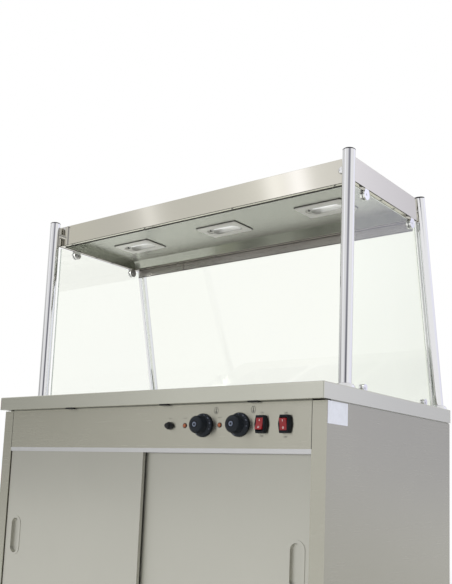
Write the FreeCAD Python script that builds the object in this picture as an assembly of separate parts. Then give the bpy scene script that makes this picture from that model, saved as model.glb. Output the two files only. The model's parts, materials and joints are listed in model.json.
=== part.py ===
import FreeCAD, Part
import math
import os

from FreeCAD import Vector

# Mobile hot cupboard with a dry-heat well in its worktop and a heated, glass-sided gantry over it.
# Millimetres. +Z up, floor at z = 0. +X to the operator's right, the controls and doors face -Y.
# The origin is on the floor, under the middle of the trolley's outer box.

# ---------------------------------------------------------------- driving dimensions
# worktop
TOP_LENGTH = 1240.0
TOP_DEPTH = 750.0
TOP_HEIGHT = 900.0
TOP_EDGE = 41.0
TOP_LIP = 20.0
TOP_FOLD_RADIUS = 3.0
SHEET = 1.5
THIN_SHEET = 1.2

# cabinet
FRONT_SETBACK = 22.0
END_SETBACK = 3.0
BACK_SETBACK = 2.0
SHADOW_GAP = 3.0
JAMB_WIDTH = 42.0
JAMB_RETURN = 20.0
SKIRT_DROP = 22.0
FASCIA_HEIGHT = 117.0
FASCIA_SEAM = 0.5
FRAME_TUBE = 25.0
CHASSIS_RAIL = 40.0
CHASSIS_PAD = 118.0
LINING_INSET = 32.0
LINING_TOP_DROP = 156.0
INSULATION_GAP = 1.0
SHELF_HEIGHT = 258.0
SHELF_FOLD = 16.0
RUNNER_LEG = 18.0
SHELF_SIDE_PLAY = 1.0
SHELF_FRONT_PLAY = 6.0
SHELF_SLOT = (60.0, 8.0)
SHELF_SLOTS_LONG = 7
SHELF_SLOTS_DEEP = 3
SHELF_SLOT_PITCH = 150.0
RUNNER_INSET = 20.0
VENT_COUNT = 9
VENT_PITCH = 26.0
VENT_WIDTH = 8.0
VENT_HEIGHT = 50.0
VENT_DROP = 60.0
PACKER_LENGTH = 30.0
PACKER_PLACES = (-292.0, 99.0, 404.0)

# doors and their tracks
TRACK_BASE = 2.0
TRACK_RIB = 2.0
TRACK_GROOVE = 15.0
TRACK_BOTTOM_RIB = 8.0
TRACK_TOP_RIB = 10.0
DOOR_THICKNESS = 12.0
DOOR_OVERLAP = 34.0
DOOR_SIDE_GAP = 2.0
DOOR_TOP_GAP = 3.0
GLIDE_HEIGHT = 2.2
GLIDE_LENGTH = 60.0
RUNNING_GAP = 0.3
PULL_LENGTH = 110.0
PULL_WIDTH = 38.0
PULL_DEPTH = 8.0
PULL_FLANGE = 6.0
PULL_FROM_EDGE = 46.0

# castors
WHEEL_RADIUS = 62.5
WHEEL_WIDTH = 32.0
TYRE_THICKNESS = 14.0
HUB_RADIUS = 17.0
AXLE_RADIUS = 6.0
PIVOT_CLEARANCE = 0.05
CASTOR_HEIGHT = 157.0
CASTOR_TRAIL = 38.0
CASTOR_PLATE = 3.0
CASTOR_PLATE_LENGTH = 105.0
CASTOR_PLATE_DEPTH = 85.0
CASTOR_PLATE_CORNER = 8.0
CASTOR_RACE_RADIUS = 26.0
CASTOR_RACE_HEIGHT = 8.5
FORK_SHEET = 3.0
FORK_SIDE_GAP = 2.0
FORK_CROWN_BEHIND = 34.0
FORK_CROWN_AHEAD = 30.0
FORK_SHOULDER = 16.0
FORK_BOSS = 15.0
HUB_WEB = 10.0
RIM_DEPTH = 6.0
TYRE_SHOULDER = 5.0
CASTOR_INSET_X = 125.0
CASTOR_INSET_Y = 80.0
PEDAL_LENGTH = 96.0
PEDAL_PIN_RADIUS = 3.0
PEDAL_PIN_BEHIND = 26.0
PEDAL_OVER_TYRE = 9.0
PEDAL_KNEE = 56.0
PEDAL_SHEET = 4.0
PEDAL_TIP_DROP = 7.0

# heated well and its pans
PAN_LENGTH = 530.0
PAN_WIDTH = 325.0
PAN_DEPTH = 100.0
PAN_SHEET = 1.2
PAN_TAPER = 12.0
PAN_CORNER = 30.0
PAN_COUNT = 3
PAN_GAP = 0.6
RIM_BEARING = 12.0
WELL_DEPTH = 170.0
WELL_FLANGE = 15.0
WELL_FROM_FRONT = 130.0
BAR_WIDTH = 18.0
BAR_DROP = 20.0
ELEMENT_RADIUS = 4.0
ELEMENT_PITCH = 80.0
ELEMENT_RUNS = 4
ELEMENT_LENGTH = 760.0
ELEMENT_TAIL = 50.0
TERMINAL_RADIUS = 2.5
TERMINAL_LENGTH = 24.0
STRAP_WIDTH = 12.0
STRAP_FOOT = 8.0
REST_HEIGHT = 8.0
GUARD_RISE = 28.0
GUARD_END = 90.0
GUARD_SIDE = 70.0
GUARD_SLOT = (70.0, 10.0)
GUARD_SLOTS_LONG = 6
GUARD_SLOTS_DEEP = 3
GUARD_SLOT_PITCH = 160.0
GUARD_ROW_PITCH = 120.0

# controls: distances from the right jamb, all on one line below the worktop
CONTROL_DROP = 100.0
RESET_FROM_JAMB = 457.0
NEONS_FROM_JAMB = (403.0, 283.0)
KNOBS_FROM_JAMB = (339.0, 218.0)
SWITCHES_FROM_JAMB = (147.0, 75.0)
KNOB_REACH = 38.0
KNOB_SKIRT_RADIUS = 33.0
KNOB_SKIRT_DEPTH = 6.0
KNOB_GRIP_RADIUS = 23.5
KNOB_FLUTES = 16
KNOB_FLUTE_RADIUS = 3.2
KNOB_FLUTE_BITE = 0.7
KNOB_GAP = 0.6
KNOB_SOLID_FACE = 8.0
SPINDLE_RADIUS = 3.0
SPINDLE_CAP_RADIUS = 6.5
SPINDLE_CAP_DEPTH = 3.0
THERMOSTAT_SIZE = (38.0, 30.0, 44.0)
THERMOSTAT_BUSH = 6.0
NEON_RADIUS = 7.0
NEON_REACH = 4.0
NEON_BODY = 22.0
SWITCH_HEIGHT = 45.0
SWITCH_WIDE = 32.0
SWITCH_NARROW = 24.0
SWITCH_REACH = 12.0
SWITCH_CHAMFER = 1.0
SWITCH_BODY = 30.0
SWITCH_WELL = 8.0
ROCKER_WIDTH = 20.0
ROCKER_HALF = 15.0
ROCKER_TILT = 12.0
ROCKER_RISE = 6.0
ROCKER_HOLLOW = 2.2
ROCKER_PIN_RADIUS = 1.5
ROCKER_PIVOT_DEPTH = 3.0
RESET_COLLAR_RADIUS = 10.5
RESET_COLLAR_REACH = 9.0
RESET_BUTTON_RADIUS = 7.0
RESET_BUTTON_REACH = 18.0
RESET_TRAVEL = 3.0
CUTOUT_SIZE = (30.0, 24.0, 36.0)
GLAND_FROM_END = 260.0
GLAND_RADIUS = 11.0
GLAND_NUT_RADIUS = 14.0
GLAND_BORE = 5.0
GLAND_LENGTH = 26.0

# gantry
POST_RADIUS = 17.5
POST_WALL = 1.5
POST_SIDE_INSET = 30.0
POST_HEIGHT = 632.0
FRONT_POST_FROM_FRONT = 150.0
BACK_POST_FROM_BACK = 27.0
CAP_BAND = 2.0
CAP_DOME = 4.0
CAP_PLUG = 14.0
FLANGE_RADIUS = 27.0
FLANGE_HEIGHT = 12.0
STUD_RADIUS = 5.0
STUD_END = 4.0
PLUG_HEIGHT = 12.0
NUT_RADIUS = 9.0
NUT_HEIGHT = 8.0
WASHER_RADIUS = 11.0
WASHER_HEIGHT = 2.0
CANOPY_GAP = 4.5
CANOPY_BACK_GAP = 2.0
CANOPY_PAST_POSTS = 3.0
RAIL_BACK_GAP = 1.0
CANOPY_DEPTH = 388.0
CANOPY_UNDERSIDE = 557.0
CANOPY_HEIGHT = 68.0
CANOPY_LIP = 20.0
SPACER_RADIUS = 8.0
PAN_RECESS = 20.0
PAN_BACK_SLOPE = 30.0
CABLE_DOME_RADIUS = 12.0
CABLE_DOME_INSET = 34.0

# lamps under the canopy
LAMP_COUNT = 3
LAMP_PITCH = 385.0
LAMP_BACK_OFFSET = 5.0
BEZEL_LENGTH = 160.0
BEZEL_DEPTH = 98.0
BEZEL_THICKNESS = 5.0
BEZEL_CORNER = 8.0
BEZEL_CHAMFER = 2.0
WINDOW_LENGTH = 130.0
WINDOW_DEPTH = 52.0
WINDOW_MARGIN = 4.0
REFLECTOR_RISE = 30.0
REFLECTOR_SHEET = 1.0
LAMP_TUBE_RADIUS = 5.0
LAMP_TUBE_LENGTH = 84.0
LAMP_END_RADIUS = 6.0
LAMP_END_LENGTH = 14.0
LAMP_RISE = 8.0
HOLDER_WIDTH = 12.0
HOLDER_HEIGHT = 14.0

# glass
GLASS = 6.0
GLASS_FOOT = 4.0
GLASS_HEAD = 8.0
GLASS_FROM_END = 10.0
GLASS_CLEARANCE = 0.1
FLANGE_AIR = 0.5
PANE_GAP = 6.0
REAR_GLASS_GAP = 2.0
UPPER_CLAMP_RADIUS = 15.0
LOWER_CLAMP_RADIUS = 11.0
CLAMP_WIDTH = 18.0
CLAMP_SCREW_RADIUS = 3.5
CLAMP_SCREW_PROUD = 1.2
UPPER_CLAMPS_FROM_CANOPY = (76.0, 28.0)
LOWER_CLAMPS_FROM_POSTS = (105.0, 93.0)
RAIL_DROP = 29.0
RAIL_HEIGHT = 32.0
RAIL_BITE = 4.0
RAIL_SHEET = 2.0
RAIL_LEG = 14.0
RAIL_CLIP_X = 357.0
RAIL_CLIP_WIDTH = 30.0

# ---------------------------------------------------------------- places worked out from them
KNOB_PAST_EDGE = KNOB_REACH - FRONT_SETBACK
TOP_FRONT = -TOP_DEPTH / 2 + KNOB_PAST_EDGE / 2
TOP_BACK = TOP_FRONT + TOP_DEPTH
TOP_HALF = TOP_LENGTH / 2
TOP_UNDER = TOP_HEIGHT - TOP_EDGE

CABINET_HALF = TOP_HALF - END_SETBACK
CABINET_FRONT = TOP_FRONT + FRONT_SETBACK
CABINET_BACK = TOP_BACK - BACK_SETBACK
CABINET_TOP = TOP_UNDER - SHADOW_GAP
INNER_HALF = CABINET_HALF - SHEET
INNER_BACK = CABINET_BACK - 2 * SHEET
FRAME_FRONT = CABINET_FRONT + JAMB_RETURN
DOORWAY_HALF = CABINET_HALF - JAMB_WIDTH

CHASSIS_BOTTOM = CASTOR_HEIGHT
CHASSIS_TOP = CHASSIS_BOTTOM + FRAME_TUBE
FLOOR_TOP = CHASSIS_TOP + SHEET
PANEL_BOTTOM = CHASSIS_TOP - SKIRT_DROP
FASCIA_BOTTOM = CABINET_TOP - FASCIA_HEIGHT
CONTROL_Z = TOP_HEIGHT - CONTROL_DROP

TRACK_DEPTH = 3 * TRACK_RIB + 2 * TRACK_GROOVE
LINING_HALF = CABINET_HALF - LINING_INSET
LINING_FRONT = CABINET_FRONT + TRACK_DEPTH + TRACK_RIB
LINING_BACK = CABINET_BACK - LINING_INSET + 2 * SHEET
LINING_TOP = CABINET_TOP - LINING_TOP_DROP
GUARD_Z = FLOOR_TOP + GUARD_RISE

RESET_X = DOORWAY_HALF - RESET_FROM_JAMB
NEON_X = [DOORWAY_HALF - distance for distance in NEONS_FROM_JAMB]
KNOB_X = [DOORWAY_HALF - distance for distance in KNOBS_FROM_JAMB]
SWITCH_X = [DOORWAY_HALF - distance for distance in SWITCHES_FROM_JAMB]

DOOR_LENGTH = DOORWAY_HALF - DOOR_SIDE_GAP + DOOR_OVERLAP / 2
DOOR_BOTTOM = FLOOR_TOP + TRACK_BASE + GLIDE_HEIGHT + RUNNING_GAP
DOOR_TOP = FASCIA_BOTTOM - TRACK_BASE - DOOR_TOP_GAP
DOOR_IN_GROOVE = (TRACK_GROOVE - DOOR_THICKNESS) / 2

PAN_PITCH = PAN_WIDTH + PAN_GAP
WELL_LENGTH = PAN_COUNT * PAN_WIDTH + (PAN_COUNT - 1) * PAN_GAP - 2 * RIM_BEARING
WELL_SPAN = PAN_LENGTH - 2 * RIM_BEARING
WELL_FRONT = TOP_FRONT + WELL_FROM_FRONT
WELL_BACK = WELL_FRONT + WELL_SPAN
WELL_MIDDLE = (WELL_FRONT + WELL_BACK) / 2
WELL_BOTTOM = TOP_HEIGHT - SHEET - WELL_DEPTH
PAN_XS = [(index - (PAN_COUNT - 1) / 2) * PAN_PITCH for index in range(PAN_COUNT)]

POST_X = TOP_HALF - POST_SIDE_INSET
FRONT_POST_Y = TOP_FRONT + FRONT_POST_FROM_FRONT
BACK_POST_Y = TOP_BACK - BACK_POST_FROM_BACK
CANOPY_FRONT = FRONT_POST_Y + POST_RADIUS + CANOPY_GAP
CANOPY_BACK = CANOPY_FRONT + CANOPY_DEPTH
CANOPY_BOTTOM = TOP_HEIGHT + CANOPY_UNDERSIDE
CANOPY_TOP = CANOPY_BOTTOM + CANOPY_HEIGHT
CANOPY_HALF = POST_X + CANOPY_PAST_POSTS
CANOPY_MIDDLE = (CANOPY_FRONT + CANOPY_BACK) / 2
PAN_SEAT_Z = CANOPY_BOTTOM + SHEET
PAN_PLATE_Z = PAN_SEAT_Z + PAN_RECESS
LAMP_Y = CANOPY_MIDDLE + LAMP_BACK_OFFSET
LAMP_XS = [(index - (LAMP_COUNT - 1) / 2) * LAMP_PITCH for index in range(LAMP_COUNT)]

GLASS_X = CANOPY_HALF - GLASS_FROM_END
GLASS_BOTTOM = TOP_HEIGHT + GLASS_FOOT
GLASS_TOP = CANOPY_BOTTOM - GLASS_HEAD
REAR_GLASS_HALF = GLASS_X - GLASS / 2 - PANE_GAP
REAR_GLASS_OFFSET = POST_RADIUS + REAR_GLASS_GAP + GLASS / 2
RAIL_BOTTOM = CANOPY_BOTTOM - RAIL_DROP
RAIL_TOP = RAIL_BOTTOM + RAIL_HEIGHT
RAIL_FRONT = CANOPY_BACK + RAIL_SHEET


def lean_past(y, height, clearance):
    """Steepest forward lean at which the back posts' axis still passes a point by the clearance."""
    run, rise = BACK_POST_Y - y, height - TOP_HEIGHT
    return math.acos(clearance / math.hypot(run, rise)) - math.atan2(rise, run)


# The back posts lean forward until the tube just clears the top edge of the canopy's back,
# or until the pane in front of them just clears the rail.
LEAN = min(lean_past(CANOPY_BACK + CANOPY_BACK_GAP, CANOPY_TOP, POST_RADIUS),
           lean_past(RAIL_FRONT + RAIL_SHEET + RAIL_BACK_GAP, RAIL_TOP, REAR_GLASS_OFFSET + GLASS / 2))

CORNERS = [(side, end) for side in (-1, 1) for end in (-1, 1)]


def back_post_y(height):
    """Y of a back post's axis at a height above the floor."""
    return BACK_POST_Y - (height - TOP_HEIGHT) * math.tan(LEAN)


# ---------------------------------------------------------------- shape helpers
def box(x0, x1, y0, y1, z0, z1):
    return Part.makeBox(x1 - x0, y1 - y0, z1 - z0, Vector(x0, y0, z0))


def rod(radius, start, end):
    line = Vector(*end) - Vector(*start)
    return Part.makeCylinder(radius, line.Length, Vector(*start), line)


def tube(radius, wall, start, end):
    return rod(radius, start, end).cut(rod(radius - wall, start, end))


def fuse(first, *others):
    return first.multiFuse(list(others)).removeSplitter()


def rounded_wire(cx, cy, z, length, depth, corner):
    """A rounded rectangle's wire at height z, length along X and depth along Y."""
    half_x, half_y = length / 2, depth / 2
    edges = []
    turns = [(half_x, half_y, 0), (-half_x, half_y, 90), (-half_x, -half_y, 180), (half_x, -half_y, 270)]
    arcs = []
    for x, y, start in turns:
        centre = Vector(cx + x - math.copysign(corner, x), cy + y - math.copysign(corner, y), z)
        arcs.append(Part.makeCircle(corner, centre, Vector(0, 0, 1), start, start + 90))
    for index, arc in enumerate(arcs):
        following = arcs[(index + 1) % len(arcs)]
        edges.append(arc)
        start, end = arc.valueAt(arc.LastParameter), following.valueAt(following.FirstParameter)
        if start.distanceToPoint(end) > 1e-6:
            edges.append(Part.makeLine(start, end))
    return Part.Wire(edges)


def rounded_block(cx, cy, z0, z1, length, depth, corner):
    face = Part.Face(rounded_wire(cx, cy, z0, length, depth, corner))
    return face.extrude(Vector(0, 0, z1 - z0))


def prism_x(points, x0, x1):
    """Extrude a closed outline of (y, z) points along X from x0 to x1."""
    outline = Part.makePolygon([Vector(x0, y, z) for y, z in points] + [Vector(x0, *points[0])])
    return Part.Face(outline).extrude(Vector(x1 - x0, 0, 0))


def prism_y(points, y0, y1):
    """Extrude a closed outline of (x, z) points along Y from y0 to y1."""
    corners = [Vector(x, y0, z) for x, z in points]
    return Part.Face(Part.makePolygon(corners + [corners[0]])).extrude(Vector(0, y1 - y0, 0))


def turned(profile, base, axis):
    """Revolve a closed (radius, height) outline about an axis through base."""
    corners = [Vector(radius, 0, height) for radius, height in profile]
    solid = Part.Face(Part.makePolygon(corners + [corners[0]])).revolve(Vector(), Vector(0, 0, 1), 360)
    solid = Part.Solid(solid) if solid.ShapeType != "Solid" else solid
    solid.Placement = FreeCAD.Placement(Vector(*base), FreeCAD.Rotation(Vector(0, 0, 1), Vector(*axis)))
    return solid


def ring(x0, x1, y0, y1, z0, z1, width):
    return box(x0, x1, y0, y1, z0, z1).cut(box(x0 + width, x1 - width, y0 + width, y1 - width, z0, z1))


def open_tray(x0, x1, y0, y1, z0, z1, wall):
    """A box open at the top, with walls and a floor of one thickness."""
    hollow = box(x0 + wall, x1 - wall, y0 + wall, y1 - wall, z0 + wall, z1)
    return box(x0, x1, y0, y1, z0, z1).cut(hollow)


def vertical_edges(shape):
    return [edge for edge in shape.Edges if edge.BoundBox.ZLength > 1e-3
            and edge.BoundBox.XLength < 1e-6 and edge.BoundBox.YLength < 1e-6]


def edges_at_top(shape, height):
    return [edge for edge in shape.Edges
            if edge.BoundBox.ZMin > height - 1e-4 and edge.BoundBox.ZMax < height + 1e-4]


# ---------------------------------------------------------------- worktop, well and pans
def worktop():
    """Folded worktop: deep edges with an inward lip, and the well's opening."""
    skin = box(-TOP_HALF, TOP_HALF, TOP_FRONT, TOP_BACK, TOP_UNDER, TOP_HEIGHT)
    skin = skin.makeFillet(TOP_FOLD_RADIUS, vertical_edges(skin))
    skin = skin.makeFillet(TOP_FOLD_RADIUS, edges_at_top(skin, TOP_HEIGHT))
    hollow = box(-TOP_HALF + SHEET, TOP_HALF - SHEET, TOP_FRONT + SHEET, TOP_BACK - SHEET,
                 TOP_UNDER + SHEET, TOP_HEIGHT - SHEET)
    mouth = box(-TOP_HALF + TOP_LIP, TOP_HALF - TOP_LIP, TOP_FRONT + TOP_LIP, TOP_BACK - TOP_LIP,
                TOP_UNDER, TOP_UNDER + SHEET)
    well = box(-WELL_LENGTH / 2, WELL_LENGTH / 2, WELL_FRONT, WELL_BACK, TOP_UNDER, TOP_HEIGHT)
    studs = [rod(STUD_RADIUS + RUNNING_GAP, (x, y, TOP_UNDER), (x, y, TOP_HEIGHT)) for x, y in post_feet()]
    return skin.cut(Part.makeCompound([hollow, mouth, well] + studs))


def post_feet():
    return [(side * POST_X, y) for side in (-1, 1) for y in (FRONT_POST_Y, BACK_POST_Y)]


def well_tank():
    """Open tank hung by its flange from the underside of the worktop."""
    top = TOP_HEIGHT - SHEET
    half = WELL_LENGTH / 2
    tray = open_tray(-half - THIN_SHEET, half + THIN_SHEET, WELL_FRONT - THIN_SHEET, WELL_BACK + THIN_SHEET,
                     WELL_BOTTOM, top, THIN_SHEET)
    flange = ring(-half - WELL_FLANGE, half + WELL_FLANGE, WELL_FRONT - WELL_FLANGE, WELL_BACK + WELL_FLANGE,
                  top - THIN_SHEET, top, WELL_FLANGE)
    return fuse(tray, flange)


def well_cross_bars():
    """Inverted channels that carry the long rims where two pans meet."""
    bars = []
    for left, right in zip(PAN_XS, PAN_XS[1:]):
        middle = (left + right) / 2
        x0, x1 = middle - BAR_WIDTH / 2, middle + BAR_WIDTH / 2
        bar = box(x0, x1, WELL_FRONT, WELL_BACK, TOP_HEIGHT - BAR_DROP, TOP_HEIGHT)
        hollow = box(x0 + SHEET, x1 - SHEET, WELL_FRONT, WELL_BACK, TOP_HEIGHT - BAR_DROP, TOP_HEIGHT - SHEET)
        bars.append(bar.cut(hollow))
    return Part.makeCompound(bars)


def food_pan(x):
    """Full-size gastronorm pan: tapered, round-cornered, with a flat rim."""
    rim_z = TOP_HEIGHT + RUNNING_GAP
    floor_z = rim_z - PAN_DEPTH
    mouth_length = PAN_WIDTH - 2 * (RIM_BEARING + 1.5)
    mouth_depth = PAN_LENGTH - 2 * (RIM_BEARING + 1.5)

    def tub(inset, z0, z1):
        top = rounded_wire(x, WELL_MIDDLE, z1, mouth_length - 2 * inset, mouth_depth - 2 * inset,
                           PAN_CORNER - inset)
        bottom = rounded_wire(x, WELL_MIDDLE, z0, mouth_length - 2 * PAN_TAPER - 2 * inset,
                              mouth_depth - 2 * PAN_TAPER - 2 * inset, PAN_CORNER - inset)
        return Part.makeLoft([bottom, top], True, True)

    rim = rounded_block(x, WELL_MIDDLE, rim_z, rim_z + PAN_SHEET, PAN_WIDTH, PAN_LENGTH, PAN_CORNER / 2)
    neck = rounded_block(x, WELL_MIDDLE, rim_z - PAN_SHEET, rim_z + PAN_SHEET, mouth_length - 2 * PAN_SHEET,
                         mouth_depth - 2 * PAN_SHEET, PAN_CORNER - PAN_SHEET)
    outside = tub(0.0, floor_z, rim_z)
    inside = tub(PAN_SHEET, floor_z + PAN_SHEET, rim_z)
    return fuse(outside, rim).cut(inside).cut(neck)


# ---------------------------------------------------------------- cabinet
def side_panel(side):
    """Outer side of the cabinet, wrapped round the front as the door jamb and round the back."""
    outer, inner = CABINET_HALF, CABINET_HALF - SHEET
    jamb = CABINET_HALF - JAMB_WIDTH
    skin = box(inner, outer, CABINET_FRONT, CABINET_BACK, PANEL_BOTTOM, CABINET_TOP)
    front = box(jamb, outer, CABINET_FRONT, CABINET_FRONT + SHEET, PANEL_BOTTOM, CABINET_TOP)
    jamb_return = box(jamb, jamb + SHEET, CABINET_FRONT, FRAME_FRONT, PANEL_BOTTOM, CABINET_TOP)
    doorway_return = box(jamb, jamb + SHEET, CABINET_FRONT, LINING_FRONT, FLOOR_TOP, FASCIA_BOTTOM)
    back = box(outer - JAMB_RETURN, outer, CABINET_BACK - SHEET, CABINET_BACK, PANEL_BOTTOM, CABINET_TOP)
    panel = fuse(skin, front, jamb_return, doorway_return, back)
    return panel if side > 0 else panel.mirror(Vector(), Vector(1, 0, 0))


def back_panel():
    """Flat back sheet with a row of cooling slots behind the electrical bay."""
    sheet = box(-INNER_HALF, INNER_HALF, INNER_BACK, CABINET_BACK - SHEET, PANEL_BOTTOM, CABINET_TOP)
    slots = []
    for index in range(VENT_COUNT):
        x = (index - (VENT_COUNT - 1) / 2) * VENT_PITCH
        slots.append(box(x - VENT_WIDTH / 2, x + VENT_WIDTH / 2, INNER_BACK - SHEET, CABINET_BACK,
                         CABINET_TOP - VENT_DROP - VENT_HEIGHT, CABINET_TOP - VENT_DROP))
    return sheet.cut(Part.makeCompound(slots))


def top_frame():
    """Tube frame that carries the worktop."""
    return ring(-INNER_HALF, INNER_HALF, FRAME_FRONT, INNER_BACK, TOP_UNDER - FRAME_TUBE, TOP_UNDER, FRAME_TUBE)


def chassis_frame():
    """Chassis of box rails with a middle beam and a pad over each castor."""
    rails = ring(-INNER_HALF, INNER_HALF, FRAME_FRONT, INNER_BACK, CHASSIS_BOTTOM, CHASSIS_TOP, CHASSIS_RAIL)
    pads = [box(min(side * INNER_HALF, side * (INNER_HALF - CASTOR_INSET_X - CHASSIS_PAD / 2)),
                max(side * INNER_HALF, side * (INNER_HALF - CASTOR_INSET_X - CHASSIS_PAD / 2)),
                y0, y1, CHASSIS_BOTTOM, CHASSIS_TOP)
            for side in (-1, 1)
            for y0, y1 in ((FRAME_FRONT, castor_ys()[0] + CHASSIS_PAD / 2),
                           (castor_ys()[1] - CHASSIS_PAD / 2, INNER_BACK))]
    beam = box(-CHASSIS_RAIL / 2, CHASSIS_RAIL / 2, FRAME_FRONT, INNER_BACK, CHASSIS_BOTTOM, CHASSIS_TOP)
    return fuse(rails, beam, *pads)


def cabinet_floor():
    """Floor plate with a tongue between the jambs and a folded front apron."""
    plate = box(-INNER_HALF, INNER_HALF, FRAME_FRONT, INNER_BACK, CHASSIS_TOP, FLOOR_TOP)
    tongue = box(-DOORWAY_HALF, DOORWAY_HALF, CABINET_FRONT, FRAME_FRONT, CHASSIS_TOP, FLOOR_TOP)
    apron = box(-DOORWAY_HALF, DOORWAY_HALF, CABINET_FRONT, CABINET_FRONT + SHEET, PANEL_BOTTOM, FLOOR_TOP)
    return fuse(plate, tongue, apron)


def cupboard_lining():
    """Inner sides, back and ceiling of the heated cupboard, its jamb flanges and four shelf runners."""
    half, sheet = LINING_HALF, THIN_SHEET
    left = box(-half, -half + sheet, LINING_FRONT, LINING_BACK, FLOOR_TOP, LINING_TOP)
    right = box(half - sheet, half, LINING_FRONT, LINING_BACK, FLOOR_TOP, LINING_TOP)
    back = box(-half, half, LINING_BACK - sheet, LINING_BACK, FLOOR_TOP, LINING_TOP)
    ceiling = box(-half, half, LINING_FRONT, LINING_BACK, LINING_TOP - sheet, LINING_TOP)
    flanges = [box(x0, x1, LINING_FRONT, LINING_FRONT + sheet, FLOOR_TOP, LINING_TOP)
               for x0, x1 in ((-INNER_HALF, -half), (half, INNER_HALF))]
    header = box(-INNER_HALF, INNER_HALF, LINING_FRONT, LINING_FRONT + sheet, LINING_TOP, FASCIA_BOTTOM)
    liner = fuse(left, right, back, ceiling, header, *flanges)
    runners = []
    shelf_under = FLOOR_TOP + SHELF_HEIGHT
    front, rear = LINING_FRONT + RUNNER_INSET, LINING_BACK - RUNNER_INSET
    for side in (-1, 1):
        wall = side * (half - sheet)
        toe = side * (half - sheet - RUNNER_LEG)
        lip = box(min(wall, toe), max(wall, toe), front, rear, shelf_under - SHEET, shelf_under)
        inner = side * (half - sheet - SHEET)
        leg = box(min(wall, inner), max(wall, inner), front, rear, shelf_under - RUNNER_LEG, shelf_under)
        runners.append(fuse(lip, leg))
    return Part.makeCompound([liner] + runners)


def insulation_slabs():
    """Mineral-wool slabs between the lining and the outer panels: two sides and the back."""
    gap = INSULATION_GAP
    slabs = []
    for side in (-1, 1):
        x0, x1 = side * (LINING_HALF + gap), side * (INNER_HALF - gap)
        slabs.append(box(min(x0, x1), max(x0, x1), LINING_FRONT + THIN_SHEET + gap, INNER_BACK - gap,
                         FLOOR_TOP, LINING_TOP))
    slabs.append(box(-LINING_HALF, LINING_HALF, LINING_BACK + gap, INNER_BACK - gap, FLOOR_TOP, LINING_TOP))
    return Part.makeCompound(slabs)


def cupboard_shelf():
    """Lift-out shelf with folded edges and rows of slots for the warm air."""
    z0 = FLOOR_TOP + SHELF_HEIGHT
    half = LINING_HALF - THIN_SHEET - SHELF_SIDE_PLAY
    front, back = LINING_FRONT + SHELF_FRONT_PLAY, LINING_BACK - THIN_SHEET - SHELF_FRONT_PLAY
    plate = box(-half, half, front, back, z0, z0 + THIN_SHEET)
    edge = box(-half + RUNNER_LEG + 2, half - RUNNER_LEG - 2, front, front + THIN_SHEET, z0 - SHELF_FOLD, z0)
    slots = slot_rows((front + back) / 2, z0, z0 + THIN_SHEET, SHELF_SLOT,
                      (SHELF_SLOTS_LONG, SHELF_SLOTS_DEEP), (SHELF_SLOT_PITCH, SHELF_SLOT_PITCH))
    return fuse(plate, edge).cut(slots)


def slot_rows(middle, z0, z1, slot, counts, pitches):
    """Rows of slots through a plate, centred on x = 0 and on y = middle: size, counts and pitches in (X, Y)."""
    slots = []
    for column in range(counts[0]):
        x = (column - (counts[0] - 1) / 2) * pitches[0]
        for row in range(counts[1]):
            y = middle + (row - (counts[1] - 1) / 2) * pitches[1]
            slots.append(box(x - slot[0] / 2, x + slot[0] / 2, y - slot[1] / 2, y + slot[1] / 2, z0, z1))
    return Part.makeCompound(slots)


def control_fascia():
    """Front panel over the doors with the holes for every control."""
    half = DOORWAY_HALF - FASCIA_SEAM
    face = box(-half, half, CABINET_FRONT, CABINET_FRONT + SHEET, FASCIA_BOTTOM, CABINET_TOP)
    folds = [box(-half, half, CABINET_FRONT, FRAME_FRONT, z0, z0 + SHEET)
             for z0 in (FASCIA_BOTTOM, CABINET_TOP - SHEET)]
    holes = [rod(radius, (x, CABINET_FRONT - 1, CONTROL_Z), (x, CABINET_FRONT + SHEET + 1, CONTROL_Z))
             for x, radius in ((RESET_X, RESET_BUTTON_RADIUS + 1.0), (NEON_X[0], NEON_RADIUS - 1.0),
                               (NEON_X[1], NEON_RADIUS - 1.0), (KNOB_X[0], 2 * SPINDLE_RADIUS),
                               (KNOB_X[1], 2 * SPINDLE_RADIUS))]
    for x in SWITCH_X:
        holes.append(box(x - switch_body_half()[0], x + switch_body_half()[0], CABINET_FRONT - 1,
                         CABINET_FRONT + SHEET + 1, CONTROL_Z - switch_body_half()[1],
                         CONTROL_Z + switch_body_half()[1]))
    return fuse(face, *folds).cut(Part.makeCompound(holes))


def worktop_packers():
    """Black packers that close the shadow gap between the fascia and the worktop's front lip."""
    return Part.makeCompound([
        box(x - PACKER_LENGTH / 2, x + PACKER_LENGTH / 2, TOP_FRONT + TOP_LIP / 2, FRAME_FRONT,
            CABINET_TOP, TOP_UNDER) for x in PACKER_PLACES])


# ---------------------------------------------------------------- doors
def door_tracks():
    """Two-groove tracks that the doors run in, one on the floor and one under the fascia."""
    def track(base_z, rib_z):
        low = base_z if rib_z > 0 else base_z - TRACK_BASE
        high = low + TRACK_BASE
        web = box(-DOORWAY_HALF, DOORWAY_HALF, CABINET_FRONT, CABINET_FRONT + TRACK_DEPTH, low, high)
        ribs = []
        for index in range(3):
            y0 = CABINET_FRONT + index * (TRACK_RIB + TRACK_GROOVE)
            z0, z1 = (high, high + rib_z) if rib_z > 0 else (low + rib_z, low)
            ribs.append(box(-DOORWAY_HALF, DOORWAY_HALF, y0, y0 + TRACK_RIB, z0, z1))
        return fuse(web, *ribs)

    return Part.makeCompound([track(FLOOR_TOP, TRACK_BOTTOM_RIB), track(FASCIA_BOTTOM, -TRACK_TOP_RIB)])


def door_front(groove):
    return CABINET_FRONT + TRACK_RIB + groove * (TRACK_RIB + TRACK_GROOVE) + DOOR_IN_GROOVE


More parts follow.
